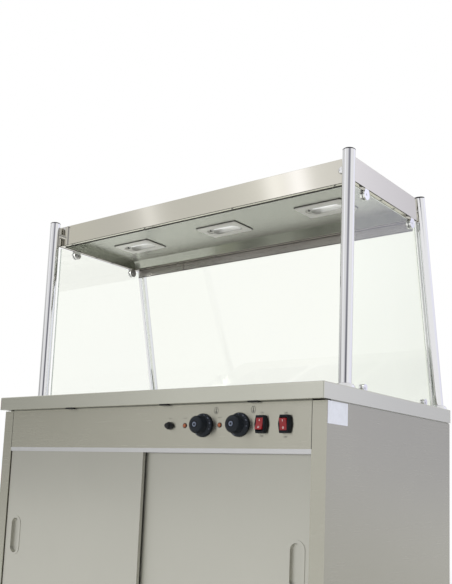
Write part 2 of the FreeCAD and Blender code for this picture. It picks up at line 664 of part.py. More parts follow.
def sliding_door(side, groove):
    """One door with its recessed finger pull and two nylon glides, as separate pieces."""
    y0 = door_front(groove)
    outer = side * (DOORWAY_HALF - DOOR_SIDE_GAP)
    inner = outer - side * DOOR_LENGTH
    x0, x1 = min(outer, inner), max(outer, inner)
    leaf = box(x0, x1, y0, y0 + DOOR_THICKNESS, DOOR_BOTTOM, DOOR_TOP)
    leaf = leaf.makeFillet(TOP_FOLD_RADIUS / 2, vertical_edges(leaf))
    pull_x = outer - side * PULL_FROM_EDGE
    pull_z = (DOOR_BOTTOM + DOOR_TOP) / 2
    pocket = stadium(pull_x, pull_z, PULL_WIDTH, PULL_LENGTH, y0, y0 + PULL_DEPTH + THIN_SHEET)
    cup = stadium(pull_x, pull_z, PULL_WIDTH, PULL_LENGTH, y0 - THIN_SHEET, y0 + PULL_DEPTH + THIN_SHEET)
    rim = stadium(pull_x, pull_z, PULL_WIDTH + 2 * PULL_FLANGE, PULL_LENGTH + 2 * PULL_FLANGE,
                  y0 - THIN_SHEET, y0)
    bowl = stadium(pull_x, pull_z, PULL_WIDTH - 2 * THIN_SHEET, PULL_LENGTH - 2 * THIN_SHEET,
                   y0 - THIN_SHEET, y0 + PULL_DEPTH)
    glides = [box(x - GLIDE_LENGTH / 2, x + GLIDE_LENGTH / 2, y0 + 1, y0 + DOOR_THICKNESS - 1,
                  DOOR_BOTTOM - GLIDE_HEIGHT, DOOR_BOTTOM) for x in (x0 + GLIDE_LENGTH, x1 - GLIDE_LENGTH)]
    return Part.makeCompound([leaf.cut(pocket), fuse(cup, rim).cut(bowl)] + glides)


def stadium(x, z, width, height, y0, y1):
    """An upright slot shape, round at both ends, extruded along Y."""
    radius = width / 2
    straight = height / 2 - radius
    return fuse(box(x - radius, x + radius, y0, y1, z - straight, z + straight),
                rod(radius, (x, y0, z + straight), (x, y1, z + straight)),
                rod(radius, (x, y0, z - straight), (x, y1, z - straight)))


# ---------------------------------------------------------------- castors
def castor_ys():
    return CABINET_FRONT + CASTOR_INSET_Y, CABINET_BACK - CASTOR_INSET_Y


def castor_place(side, end):
    return side * (CABINET_HALF - CASTOR_INSET_X), castor_ys()[0] if end < 0 else castor_ys()[1]


def castor_plates():
    """Top plate, swivel race and kingpin of each castor."""
    plates = []
    for side, end in CORNERS:
        x, y = castor_place(side, end)
        top = CASTOR_HEIGHT
        plate = rounded_block(x, y, top - CASTOR_PLATE, top, CASTOR_PLATE_LENGTH, CASTOR_PLATE_DEPTH,
                              CASTOR_PLATE_CORNER)
        race_bottom = top - CASTOR_PLATE - CASTOR_RACE_HEIGHT
        race = turned([(0, 0), (CASTOR_RACE_RADIUS - 4, 0), (CASTOR_RACE_RADIUS, CASTOR_RACE_HEIGHT / 2),
                       (CASTOR_RACE_RADIUS, CASTOR_RACE_HEIGHT), (0, CASTOR_RACE_HEIGHT)],
                      (x, y, race_bottom), (0, 0, 1))
        pin = rod(AXLE_RADIUS, (x, y, race_bottom - FORK_SHEET - 1.5), (x, y, race_bottom))
        head = rod(AXLE_RADIUS + 3, (x, y, race_bottom - FORK_SHEET - 4.5),
                   (x, y, race_bottom - FORK_SHEET - 1.5))
        plates.append(fuse(plate, race, pin, head))
    return Part.makeCompound(plates)


def castor_fork(side, end):
    """Bent fork that trails behind its swivel, with the axle bolt through it."""
    x, y = castor_place(side, end)
    axle_x = x - CASTOR_TRAIL
    top = CASTOR_HEIGHT - CASTOR_PLATE - CASTOR_RACE_HEIGHT - RUNNING_GAP
    inner = WHEEL_WIDTH / 2 + FORK_SIDE_GAP
    outer = inner + FORK_SHEET
    crown_x0, crown_x1 = x - FORK_CROWN_BEHIND, x + FORK_CROWN_AHEAD
    crown = box(crown_x0, crown_x1, y - outer, y + outer, top - FORK_SHEET, top)
    crown = crown.cut(rod(AXLE_RADIUS + PIVOT_CLEARANCE, (x, y, top - FORK_SHEET), (x, y, top)))
    cheeks = []
    for y0 in (y - outer, y + inner):
        outline = [(crown_x0, top), (crown_x1, top), (crown_x1, top - FORK_SHOULDER),
                   (axle_x + FORK_BOSS, WHEEL_RADIUS), (axle_x - FORK_BOSS, WHEEL_RADIUS),
                   (axle_x - FORK_BOSS, WHEEL_RADIUS + 20)]
        plate = prism_y(outline, y0, y0 + FORK_SHEET)
        boss = rod(FORK_BOSS, (axle_x, y0, WHEEL_RADIUS), (axle_x, y0 + FORK_SHEET, WHEEL_RADIUS))
        cheeks.append(fuse(plate, boss))
    yoke = fuse(crown, *cheeks)
    pedal_hole = rod(PEDAL_PIN_RADIUS + PIVOT_CLEARANCE, (*pedal_pivot(side, end)[:1], y - outer - 1,
                                                        pedal_pivot(side, end)[2]),
                     (*pedal_pivot(side, end)[:1], y + outer + 1, pedal_pivot(side, end)[2]))
    axle_hole = rod(AXLE_RADIUS, (axle_x, y - outer, WHEEL_RADIUS), (axle_x, y + outer, WHEEL_RADIUS))
    yoke = yoke.cut(axle_hole)
    if has_brake(end):
        yoke = yoke.cut(pedal_hole)
    axle = fuse(rod(AXLE_RADIUS, (axle_x, y - outer, WHEEL_RADIUS), (axle_x, y + outer, WHEEL_RADIUS)),
                rod(AXLE_RADIUS + 4, (axle_x, y - outer - 5, WHEEL_RADIUS), (axle_x, y - outer, WHEEL_RADIUS)),
                rod(AXLE_RADIUS + 4, (axle_x, y + outer, WHEEL_RADIUS), (axle_x, y + outer + 5, WHEEL_RADIUS)))
    return Part.makeCompound([yoke, axle])


def castor_wheel(side, end):
    """Plastic wheel centre and its rubber tyre, as two pieces."""
    x, y = castor_place(side, end)
    axle_x = x - CASTOR_TRAIL
    half = WHEEL_WIDTH / 2
    rim = WHEEL_RADIUS - TYRE_THICKNESS
    bore = AXLE_RADIUS + PIVOT_CLEARANCE
    web, inner_rim, side = HUB_WEB / 2, rim - RIM_DEPTH, half - 2
    crown, edge = WHEEL_RADIUS - TYRE_SHOULDER / 4, side - TYRE_SHOULDER
    centre = turned([(bore, -half), (HUB_RADIUS, -half), (HUB_RADIUS, -web), (inner_rim, -web),
                     (inner_rim, -side), (rim, -side), (rim, side), (inner_rim, side), (inner_rim, web),
                     (HUB_RADIUS, web), (HUB_RADIUS, half), (bore, half)], (axle_x, y, WHEEL_RADIUS), (0, 1, 0))
    tyre = turned([(rim, -side), (WHEEL_RADIUS - TYRE_SHOULDER, -side), (crown, -edge),
                   (WHEEL_RADIUS, TYRE_SHOULDER - edge), (WHEEL_RADIUS, edge - TYRE_SHOULDER), (crown, edge),
                   (WHEEL_RADIUS - TYRE_SHOULDER, side), (rim, side)], (axle_x, y, WHEEL_RADIUS), (0, 1, 0))
    return Part.makeCompound([centre, tyre])


def has_brake(end):
    return end < 0


def pedal_pivot(side, end):
    x, y = castor_place(side, end)
    return x - PEDAL_PIN_BEHIND, y, 2 * WHEEL_RADIUS + PEDAL_OVER_TYRE


def brake_pedal(side, end):
    """Foot pedal on a cross pin between the fork cheeks, reaching out past the tyre."""
    x, y, z = pedal_pivot(side, end)
    inner = WHEEL_WIDTH / 2 + FORK_SIDE_GAP
    outer = inner + FORK_SHEET
    pin = rod(PEDAL_PIN_RADIUS, (x, y - outer, z), (x, y + outer, z))
    hub = rod(PEDAL_PIN_RADIUS + 2, (x, y - inner + 1, z), (x, y + inner - 1, z))
    knee_x, tip_x, half = x - PEDAL_KNEE, x - PEDAL_LENGTH, PEDAL_SHEET / 2
    knee_z, tip_z = z + PEDAL_SHEET + half - 1, z - PEDAL_TIP_DROP
    arm = prism_y([(x, z + half), (x, z - half), (knee_x, knee_z - half), (tip_x, tip_z - half),
                   (tip_x, tip_z + half), (knee_x, knee_z + half)], y - inner + 2, y + inner - 2)
    return fuse(hub, arm, pin)


# ---------------------------------------------------------------- heating and controls
def heating_element(z, length, end_x):
    """Hairpin element: parallel runs joined by half-circle bends, with its two terminals."""
    radius = ELEMENT_PITCH / 2
    y_first = WELL_MIDDLE - ELEMENT_PITCH * (ELEMENT_RUNS - 1) / 2
    edges = []
    for index in range(ELEMENT_RUNS):
        y = y_first + index * ELEMENT_PITCH
        first_x = end_x if index == 0 else length / 2
        last_x = end_x if index == ELEMENT_RUNS - 1 else length / 2
        start, end = (first_x, -length / 2) if index % 2 == 0 else (-length / 2, last_x)
        edges.append(Part.makeLine(Vector(start, y, z), Vector(end, y, z)))
        if index < ELEMENT_RUNS - 1:
            reach = math.copysign(radius, end)
            edges.append(Part.Arc(Vector(end, y, z), Vector(end + reach, y + radius, z),
                                  Vector(end, y + ELEMENT_PITCH, z)).toShape())
    path = Part.Wire(edges)
    profile = Part.Wire([Part.makeCircle(ELEMENT_RADIUS, Vector(end_x, y_first, z), Vector(-1, 0, 0))])
    sheath = path.makePipeShell([profile], True, False)
    ends = [rod(TERMINAL_RADIUS, (end_x, y, z), (end_x + TERMINAL_LENGTH, y, z))
            for y in (y_first, y_first + ELEMENT_PITCH * (ELEMENT_RUNS - 1))]
    return [sheath] + ends


def tank_element():
    """Element under the well tank and the straps that hold it to the tank's floor."""
    z = WELL_BOTTOM - ELEMENT_RADIUS
    straps = []
    y_first = WELL_MIDDLE - ELEMENT_PITCH * (ELEMENT_RUNS - 1) / 2
    for x in (-ELEMENT_LENGTH / 4, ELEMENT_LENGTH / 4):
        for index in range(ELEMENT_RUNS):
            y = y_first + index * ELEMENT_PITCH
            x0, x1 = x - STRAP_WIDTH / 2, x + STRAP_WIDTH / 2
            reach = ELEMENT_RADIUS + STRAP_FOOT
            strap = box(x0, x1, y - reach, y + reach, z - ELEMENT_RADIUS - THIN_SHEET, WELL_BOTTOM)
            channel = box(x0, x1, y - ELEMENT_RADIUS, y + ELEMENT_RADIUS, z - ELEMENT_RADIUS, WELL_BOTTOM)
            straps.append(strap.cut(channel))
    return Part.makeCompound(heating_element(z, ELEMENT_LENGTH, ELEMENT_LENGTH / 2 + ELEMENT_TAIL) + straps)


def cupboard_element():
    """Element on the cupboard's floor, lying on its rests."""
    z = FLOOR_TOP + REST_HEIGHT + ELEMENT_RADIUS
    y_first = WELL_MIDDLE - ELEMENT_PITCH * (ELEMENT_RUNS - 1) / 2
    y_last = y_first + ELEMENT_PITCH * (ELEMENT_RUNS - 1)
    rests = [box(x - STRAP_WIDTH / 2, x + STRAP_WIDTH / 2, y_first - STRAP_WIDTH, y_last + STRAP_WIDTH,
                 FLOOR_TOP, FLOOR_TOP + REST_HEIGHT) for x in (-ELEMENT_LENGTH / 4, ELEMENT_LENGTH / 4)]
    return Part.makeCompound(heating_element(z, ELEMENT_LENGTH, ELEMENT_LENGTH / 2 + ELEMENT_TAIL) + rests)


def element_guard():
    """Slotted tray over the cupboard's element, on folded legs."""
    half = ELEMENT_LENGTH / 2 + GUARD_END
    reach = ELEMENT_PITCH * (ELEMENT_RUNS - 1) / 2 + GUARD_SIDE
    front, back = WELL_MIDDLE - reach, WELL_MIDDLE + reach
    plate = box(-half, half, front, back, GUARD_Z - THIN_SHEET, GUARD_Z)
    legs = [box(-half, half, y0, y0 + THIN_SHEET, FLOOR_TOP, GUARD_Z) for y0 in (front, back - THIN_SHEET)]
    counts = (GUARD_SLOTS_LONG, GUARD_SLOTS_DEEP)
    slots = slot_rows(WELL_MIDDLE, GUARD_Z - THIN_SHEET, GUARD_Z, GUARD_SLOT, counts,
                      (GUARD_SLOT_PITCH, GUARD_ROW_PITCH))
    return fuse(plate, *legs).cut(slots)


def thermostats():
    """Two thermostats behind the fascia, each with a bush through its hole."""
    width, depth, height = THERMOSTAT_SIZE
    bodies = []
    back_of_fascia = CABINET_FRONT + SHEET
    case_front = back_of_fascia + THERMOSTAT_BUSH
    for x in KNOB_X:
        case = box(x - width / 2, x + width / 2, case_front, case_front + depth,
                   CONTROL_Z - height / 2, CONTROL_Z + height / 2)
        collar = rod(3 * SPINDLE_RADIUS, (x, back_of_fascia, CONTROL_Z), (x, case_front, CONTROL_Z))
        bush = rod(2 * SPINDLE_RADIUS - 0.2, (x, CABINET_FRONT, CONTROL_Z), (x, case_front, CONTROL_Z))
        bore = rod(SPINDLE_RADIUS + PIVOT_CLEARANCE, (x, CABINET_FRONT, CONTROL_Z),
                   (x, case_front + depth / 2, CONTROL_Z))
        bodies.append(fuse(case, collar, bush).cut(bore))
    return Part.makeCompound(bodies)


def knob_spindle(x):
    """Spindle that turns in its thermostat, and the metal disc in the knob's face."""
    inner_end = CABINET_FRONT + SHEET + THERMOSTAT_BUSH + THERMOSTAT_SIZE[1] / 2 - 1
    face = CABINET_FRONT - KNOB_REACH
    shaft = rod(SPINDLE_RADIUS, (x, face + KNOB_SOLID_FACE, CONTROL_Z), (x, inner_end, CONTROL_Z))
    disc = rod(SPINDLE_CAP_RADIUS, (x, face + 0.6, CONTROL_Z), (x, face + SPINDLE_CAP_DEPTH, CONTROL_Z))
    return Part.makeCompound([shaft, disc])


def thermostat_knob(x):
    """Round knob with a stepped skirt, a fluted grip and a recess for the metal disc."""
    grip, skirt = KNOB_GRIP_RADIUS, KNOB_SKIRT_RADIUS
    near, far = KNOB_GAP, KNOB_REACH
    base = turned([(0, near), (skirt - 1, near), (skirt, near + 1), (skirt, near + KNOB_SKIRT_DEPTH - 2),
                   (skirt - 5, near + KNOB_SKIRT_DEPTH), (grip + 1, near + KNOB_SKIRT_DEPTH + 1), (grip, far - 3),
                   (grip - 3, far), (SPINDLE_CAP_RADIUS + 3, far), (SPINDLE_CAP_RADIUS + 2, far - 1),
                   (SPINDLE_CAP_RADIUS, far - 1), (SPINDLE_CAP_RADIUS, far - SPINDLE_CAP_DEPTH),
                   (0, far - SPINDLE_CAP_DEPTH)], (x, CABINET_FRONT, CONTROL_Z), (0, -1, 0))
    flutes = []
    reach = grip + KNOB_FLUTE_RADIUS - KNOB_FLUTE_BITE
    for index in range(KNOB_FLUTES):
        angle = 2 * math.pi * (index + 0.5) / KNOB_FLUTES
        cx, cz = x + reach * math.cos(angle), CONTROL_Z + reach * math.sin(angle)
        flutes.append(rod(KNOB_FLUTE_RADIUS, (cx, CABINET_FRONT - near - KNOB_SKIRT_DEPTH - 4, cz),
                          (cx, CABINET_FRONT - far, cz)))
    bore = rod(SPINDLE_RADIUS, (x, CABINET_FRONT - KNOB_REACH + KNOB_SOLID_FACE, CONTROL_Z),
               (x, CABINET_FRONT, CONTROL_Z))
    return base.cut(Part.makeCompound(flutes + [bore]))


def neon_lamps():
    """Push-in neon indicators: domed lens, flange and body in one moulding."""
    lamps = []
    for x in NEON_X:
        front = CABINET_FRONT
        neck = NEON_RADIUS - 1.2
        profile = [(0, -NEON_BODY), (neck, -NEON_BODY), (neck, 0), (NEON_RADIUS, 0),
                   (NEON_RADIUS, 1.4), (NEON_RADIUS - 0.8, 2.6), (NEON_RADIUS - 2.6, NEON_REACH - 0.4),
                   (0, NEON_REACH)]
        lamps.append(turned(profile, (x, front, CONTROL_Z), (0, -1, 0)))
    return Part.makeCompound(lamps)


def switch_body_half():
    return ROCKER_WIDTH / 2 + 2.0, ROCKER_HALF + 3.0


def switch_pivot(x):
    return x, CABINET_FRONT - SWITCH_REACH + ROCKER_PIVOT_DEPTH, CONTROL_Z


def switch_bodies():
    """Deep-collared switch bodies: a six-sided collar outside and the contact block behind."""
    bodies = []
    for x in SWITCH_X:
        half_z = SWITCH_HEIGHT / 2
        wide, narrow = SWITCH_WIDE / 2, SWITCH_NARROW / 2
        outline = [(x - narrow, CONTROL_Z - half_z), (x + narrow, CONTROL_Z - half_z), (x + wide, CONTROL_Z),
                   (x + narrow, CONTROL_Z + half_z), (x - narrow, CONTROL_Z + half_z), (x - wide, CONTROL_Z)]
        collar = prism_y(outline, CABINET_FRONT - SWITCH_REACH, CABINET_FRONT)
        front_edges = [edge for edge in collar.Edges
                       if edge.BoundBox.YMax < CABINET_FRONT - SWITCH_REACH + 1e-3]
        collar = collar.makeChamfer(SWITCH_CHAMFER, front_edges)
        half_x, body_z = switch_body_half()
        block = box(x - half_x, x + half_x, CABINET_FRONT, CABINET_FRONT + SWITCH_BODY, CONTROL_Z - body_z,
                    CONTROL_Z + body_z)
        well_x, well_z = ROCKER_WIDTH / 2 + 0.4, ROCKER_HALF + 1.8
        hollow = box(x - well_x, x + well_x, CABINET_FRONT - SWITCH_REACH, CABINET_FRONT + SWITCH_WELL,
                     CONTROL_Z - well_z, CONTROL_Z + well_z)
        _, pivot_y, pivot_z = switch_pivot(x)
        pin_hole = rod(ROCKER_PIN_RADIUS + PIVOT_CLEARANCE, (x - half_x, pivot_y, pivot_z),
                       (x + half_x, pivot_y, pivot_z))
        bodies.append(fuse(collar, block).cut(hollow).cut(pin_hole))
    return Part.makeCompound(bodies)


def switch_rocker(x, tilt):
    """Two-faced rocker on its cross pin, tilted to one of its two positions."""
    _, y, z = switch_pivot(x)
    half, rise = ROCKER_HALF, ROCKER_RISE
    outline = [(y - rise, z - half), (y - rise + ROCKER_HOLLOW, z), (y - rise, z + half),
               (y + rise / 2, z + half - 1.5), (y + rise + 1, z), (y + rise / 2, z - half + 1.5)]
    key = prism_x(outline, x - ROCKER_WIDTH / 2, x + ROCKER_WIDTH / 2)
    pin_end = ROCKER_WIDTH / 2 + 1.8
    pin = rod(ROCKER_PIN_RADIUS, (x - pin_end, y, z), (x + pin_end, y, z))
    rocker = fuse(key, pin)
    rocker.rotate(Vector(x, y, z), Vector(1, 0, 0), tilt)
    return rocker


def reset_collar():
    """Threaded collar of the overheat reset, with the cut-out's body behind the fascia."""
    x, z = RESET_X, CONTROL_Z
    bore = RESET_BUTTON_RADIUS + RUNNING_GAP / 2
    front = CABINET_FRONT
    collar = turned([(bore, -1), (RESET_BUTTON_RADIUS + 0.9, -1), (RESET_BUTTON_RADIUS + 0.9, 0),
                     (RESET_COLLAR_RADIUS, 0), (RESET_COLLAR_RADIUS, RESET_COLLAR_REACH - 2),
                     (RESET_COLLAR_RADIUS - 1.5, RESET_COLLAR_REACH), (bore, RESET_COLLAR_REACH)],
                    (x, front, z), (0, -1, 0))
    back = front + SHEET
    width, depth, height = CUTOUT_SIZE
    case = box(x - width / 2, x + width / 2, back, back + depth, z - height / 2, z + height / 2)
    well = rod(bore, (x, back, z), (x, back + RESET_TRAVEL + 7, z))
    return Part.makeCompound([collar, case.cut(well)])


def reset_button():
    """Push button that clears the overheat cut-out."""
    front = CABINET_FRONT
    return turned([(0, -SHEET - 6), (RESET_BUTTON_RADIUS, -SHEET - 6),
                   (RESET_BUTTON_RADIUS, RESET_BUTTON_REACH - 2.5),
                   (RESET_BUTTON_RADIUS - 2, RESET_BUTTON_REACH), (0, RESET_BUTTON_REACH)],
                  (RESET_X, front, CONTROL_Z), (0, -1, 0))


def cable_gland():
    """Gland for the mains lead, under the floor at the back, left empty."""
    x, y = INNER_HALF - GLAND_FROM_END, INNER_BACK - 2 * CHASSIS_RAIL
    end = (x, y, CHASSIS_TOP - GLAND_LENGTH)
    body = fuse(rod(GLAND_RADIUS, end, (x, y, CHASSIS_TOP)),
                rod(GLAND_NUT_RADIUS, (x, y, CHASSIS_TOP - GLAND_LENGTH / 4), (x, y, CHASSIS_TOP)))
    return body.cut(rod(GLAND_BORE, end, (x, y, CHASSIS_TOP)))


# ---------------------------------------------------------------- gantry
def front_posts():
    top = TOP_HEIGHT + POST_HEIGHT
    return Part.makeCompound([tube(POST_RADIUS, POST_WALL, (side * POST_X, FRONT_POST_Y, TOP_HEIGHT),
                                   (side * POST_X, FRONT_POST_Y, top)) for side in (-1, 1)])


def back_post_axis(side):
    """Foot, top and unit direction of a back post's axis."""
    foot = Vector(side * POST_X, BACK_POST_Y, TOP_HEIGHT)
    top_z = TOP_HEIGHT + POST_HEIGHT
    top = Vector(side * POST_X, back_post_y(top_z), top_z)
    return foot, top, (top - foot).normalize()


def back_posts():
    """Leaning tubes, cut level where they stand on the worktop and square at the top."""
    posts = []
    for side in (-1, 1):
        foot, top, along = back_post_axis(side)
        start = foot - along * (2 * POST_RADIUS)
        leaning = tube(POST_RADIUS, POST_WALL, tuple(start), tuple(top))
        below = box(foot.x - 60, foot.x + 60, foot.y - 60, foot.y + 60, TOP_HEIGHT - 60, TOP_HEIGHT)
        posts.append(leaning.cut(below))
    return Part.makeCompound(posts)


def post_caps():
    """Domed plastic plugs in the tops of the four posts."""
    top_z = TOP_HEIGHT + POST_HEIGHT
    ends = [(Vector(side * POST_X, FRONT_POST_Y, top_z), Vector(0, 0, 1)) for side in (-1, 1)]
    ends += [(back_post_axis(side)[1], back_post_axis(side)[2]) for side in (-1, 1)]
    caps = []
    for place, along in ends:
        plug = POST_RADIUS - POST_WALL - 0.1
        profile = [(0, -CAP_PLUG), (plug, -CAP_PLUG), (plug, 0), (POST_RADIUS, 0), (POST_RADIUS, CAP_BAND),
                   (POST_RADIUS * 0.85, CAP_BAND + CAP_DOME * 0.55),
                   (POST_RADIUS * 0.5, CAP_BAND + CAP_DOME * 0.9), (0, CAP_BAND + CAP_DOME)]
        caps.append(turned(profile, tuple(place), tuple(along)))
    return Part.makeCompound(caps)


def post_flanges():
    """Domed cover flanges round the feet of the posts, bored to each post's lean."""
    flanges = []
    for x, y in post_feet():
        profile = [(0, 0), (FLANGE_RADIUS, 0), (FLANGE_RADIUS, FLANGE_HEIGHT * 0.2),
                   (FLANGE_RADIUS - 1.5, FLANGE_HEIGHT * 0.5), (FLANGE_RADIUS - 4.5, FLANGE_HEIGHT * 0.84),
                   (POST_RADIUS + 1, FLANGE_HEIGHT), (0, FLANGE_HEIGHT)]
        dome = turned(profile, (x, y, TOP_HEIGHT), (0, 0, 1))
        lean = LEAN if y == BACK_POST_Y else 0.0
        along = Vector(0, -math.sin(lean), math.cos(lean))
        foot = Vector(x, y, TOP_HEIGHT)
        bore = rod(POST_RADIUS + 0.1, tuple(foot - along * FLANGE_RADIUS), tuple(foot + along * FLANGE_RADIUS))
        flanges.append(dome.cut(bore))
    return Part.makeCompound(flanges)


def gantry_fixings():
    """Studs and nuts of the posts, spacers to the canopy and the domed cable entry."""
    pieces = []
    plug_radius = POST_RADIUS - POST_WALL
    for x, y in post_feet():
        stud = rod(STUD_RADIUS, (x, y, TOP_UNDER + STUD_END), (x, y, TOP_HEIGHT))
        lean = LEAN if y == BACK_POST_Y else 0.0
        along = Vector(0, -math.sin(lean), math.cos(lean))
        foot = Vector(x, y, TOP_HEIGHT)
        plug = rod(plug_radius - 0.1, tuple(foot - along * POST_RADIUS), tuple(foot + along * PLUG_HEIGHT))
        plug = plug.cut(box(x - 60, x + 60, y - 60, y + 60, TOP_HEIGHT - 60, TOP_HEIGHT))
        under = TOP_HEIGHT - SHEET
        washer = rod(WASHER_RADIUS, (x, y, under - WASHER_HEIGHT), (x, y, under))
        nut = rod(NUT_RADIUS, (x, y, under - WASHER_HEIGHT - NUT_HEIGHT), (x, y, under - WASHER_HEIGHT))
        pieces.append(fuse(stud, plug, washer, nut))
    spacer_z = CANOPY_BOTTOM + CANOPY_HEIGHT / 2
    for side in (-1, 1):
        x = side * (POST_X - SPACER_RADIUS - 1)
        front_tube = rod(POST_RADIUS + 0.05, (side * POST_X, FRONT_POST_Y, spacer_z - 30),
                         (side * POST_X, FRONT_POST_Y, spacer_z + 30))
        front_spacer = rod(SPACER_RADIUS, (x, FRONT_POST_Y, spacer_z), (x, CANOPY_FRONT, spacer_z))
        pieces.append(front_spacer.cut(front_tube))
        foot, top, _ = back_post_axis(side)
        back_tube = rod(POST_RADIUS + 0.05, tuple(foot), tuple(top))
        back_spacer = rod(SPACER_RADIUS, (x, CANOPY_BACK, spacer_z), (x, back_post_y(spacer_z), spacer_z))
        pieces.append(back_spacer.cut(back_tube))
    dome = Part.makeSphere(CABLE_DOME_RADIUS, Vector(CANOPY_HALF - CABLE_DOME_INSET, CANOPY_FRONT, spacer_z))
    behind = box(0, CANOPY_HALF, CANOPY_FRONT, CANOPY_FRONT + 60, spacer_z - 40, spacer_z + 40)
    pieces.append(dome.cut(behind))
    return Part.makeCompound(pieces)


def canopy_shell():
    """Folded canopy: a shallow inverted tray with a lip turned in along every lower edge."""
    skin = box(-CANOPY_HALF, CANOPY_HALF, CANOPY_FRONT, CANOPY_BACK, CANOPY_BOTTOM, CANOPY_TOP)
    skin = skin.makeFillet(TOP_FOLD_RADIUS / 2, vertical_edges(skin))
    skin = skin.makeFillet(TOP_FOLD_RADIUS / 2, edges_at_top(skin, CANOPY_TOP))
    hollow = box(-CANOPY_HALF + SHEET, CANOPY_HALF - SHEET, CANOPY_FRONT + SHEET, CANOPY_BACK - SHEET,
                 CANOPY_BOTTOM + SHEET, CANOPY_TOP - SHEET)
    mouth = box(-CANOPY_HALF + CANOPY_LIP, CANOPY_HALF - CANOPY_LIP, CANOPY_FRONT + CANOPY_LIP,
                CANOPY_BACK - CANOPY_LIP, CANOPY_BOTTOM, CANOPY_BOTTOM + SHEET)
    return skin.cut(hollow).cut(mouth)


def canopy_pan():
    """Recessed underside of the canopy: flange on the lip, steep sides, sloped back, lamp cut-outs."""
    half = CANOPY_HALF - CANOPY_LIP
    front, back = CANOPY_FRONT + CANOPY_LIP, CANOPY_BACK - CANOPY_LIP
    sheet = THIN_SHEET
    outer = prism_x([(front - sheet, PAN_SEAT_Z), (front - sheet, PAN_PLATE_Z + sheet),
                     (back - PAN_BACK_SLOPE + sheet, PAN_PLATE_Z + sheet), (back + sheet, PAN_SEAT_Z)],
                    -half - sheet, half + sheet)
    inner = prism_x([(front, PAN_SEAT_Z), (front, PAN_PLATE_Z), (back - PAN_BACK_SLOPE, PAN_PLATE_Z),
                     (back, PAN_SEAT_Z)], -half, half)
    flange = box(-CANOPY_HALF + SHEET + 1, CANOPY_HALF - SHEET - 1, CANOPY_FRONT + SHEET + 1,
                 CANOPY_BACK - SHEET - 1, PAN_SEAT_Z, PAN_SEAT_Z + sheet)
    cuts = [rounded_block(x, LAMP_Y, PAN_PLATE_Z, PAN_PLATE_Z + sheet, WINDOW_LENGTH + 2 * WINDOW_MARGIN,
                          WINDOW_DEPTH + 2 * WINDOW_MARGIN, 2 * sheet) for x in LAMP_XS]
    return fuse(outer, flange).cut(inner).cut(Part.makeCompound(cuts))


def lamp_bezels():
    """Raised rectangular lamp bezels with a round-ended window."""
    bezels = []
    for x in LAMP_XS:
        z0 = PAN_PLATE_Z - BEZEL_THICKNESS
        plate = rounded_block(x, LAMP_Y, z0, PAN_PLATE_Z, BEZEL_LENGTH, BEZEL_DEPTH, BEZEL_CORNER)
        lower = [edge for edge in plate.Edges if edge.BoundBox.ZMax < z0 + 1e-4]
        plate = plate.makeChamfer(BEZEL_CHAMFER, lower)
        window = rounded_block(x, LAMP_Y, z0 - 1, PAN_PLATE_Z + 1, WINDOW_LENGTH, WINDOW_DEPTH,
                               WINDOW_DEPTH / 2 - 0.5)
        bezels.append(plate.cut(window))
    return Part.makeCompound(bezels)


def lamp_reflectors():
    """Trough reflectors over the windows, each with the two holders that grip its lamp."""
    pieces = []
    half_length, half_depth = WINDOW_LENGTH / 2 + 2, WINDOW_DEPTH / 2 + 2
    z = PAN_PLATE_Z + LAMP_RISE
    for x in LAMP_XS:
        outside = lamp_arch(x, half_length, half_depth, REFLECTOR_RISE)
        inside = lamp_arch(x, half_length - REFLECTOR_SHEET, half_depth - REFLECTOR_SHEET,
                           REFLECTOR_RISE - REFLECTOR_SHEET)
        pieces.append(outside.cut(inside))
        for side in (-1, 1):
            wall = x + side * (half_length - REFLECTOR_SHEET)
            grip = x + side * (LAMP_TUBE_LENGTH / 2 + LAMP_END_LENGTH)
            pieces.append(box(min(wall, grip), max(wall, grip), LAMP_Y - HOLDER_WIDTH / 2,
                              LAMP_Y + HOLDER_WIDTH / 2, z - HOLDER_HEIGHT / 2, z + HOLDER_HEIGHT / 2))
    return Part.makeCompound(pieces)


def lamp_arch(x, half_length, half_depth, rise):
    """A solid arch over a lamp window: a flat foot on the pan and a round back."""
    x0, y0, y1 = x - half_length, LAMP_Y - half_depth, LAMP_Y + half_depth
    crest = Vector(x0, LAMP_Y, PAN_PLATE_Z + rise)
    back = Part.Arc(Vector(x0, y1, PAN_PLATE_Z), crest, Vector(x0, y0, PAN_PLATE_Z))
    foot = Part.makeLine(Vector(x0, y0, PAN_PLATE_Z), Vector(x0, y1, PAN_PLATE_Z))
    return Part.Face(Part.Wire([back.toShape(), foot])).extrude(Vector(2 * half_length, 0, 0))


def lamp_tubes():
    """Quartz lamps with a ceramic cap at each end."""
    pieces = []
    z = PAN_PLATE_Z + LAMP_RISE
    half = LAMP_TUBE_LENGTH / 2
    for x in LAMP_XS:
        pieces.append(rod(LAMP_TUBE_RADIUS, (x - half, LAMP_Y, z), (x + half, LAMP_Y, z)))
        for side in (-1, 1):
            pieces.append(rod(LAMP_END_RADIUS, (x + side * half, LAMP_Y, z),
                              (x + side * (half + LAMP_END_LENGTH), LAMP_Y, z)))
    return Part.makeCompound(pieces)


# ---------------------------------------------------------------- glass
def end_glasses():
    """End panes: upright front edge, back edge parallel to the leaning post."""
    front = FRONT_POST_Y + FLANGE_RADIUS + FLANGE_AIR
    clear = (REAR_GLASS_OFFSET + GLASS / 2 + PANE_GAP) / math.cos(LEAN)
    outline = [(front, GLASS_BOTTOM), (back_post_y(GLASS_BOTTOM) - clear, GLASS_BOTTOM),
               (back_post_y(GLASS_TOP) - clear, GLASS_TOP), (front, GLASS_TOP)]
    return Part.makeCompound([prism_x(outline, side * GLASS_X - GLASS / 2, side * GLASS_X + GLASS / 2)
                              for side in (-1, 1)])


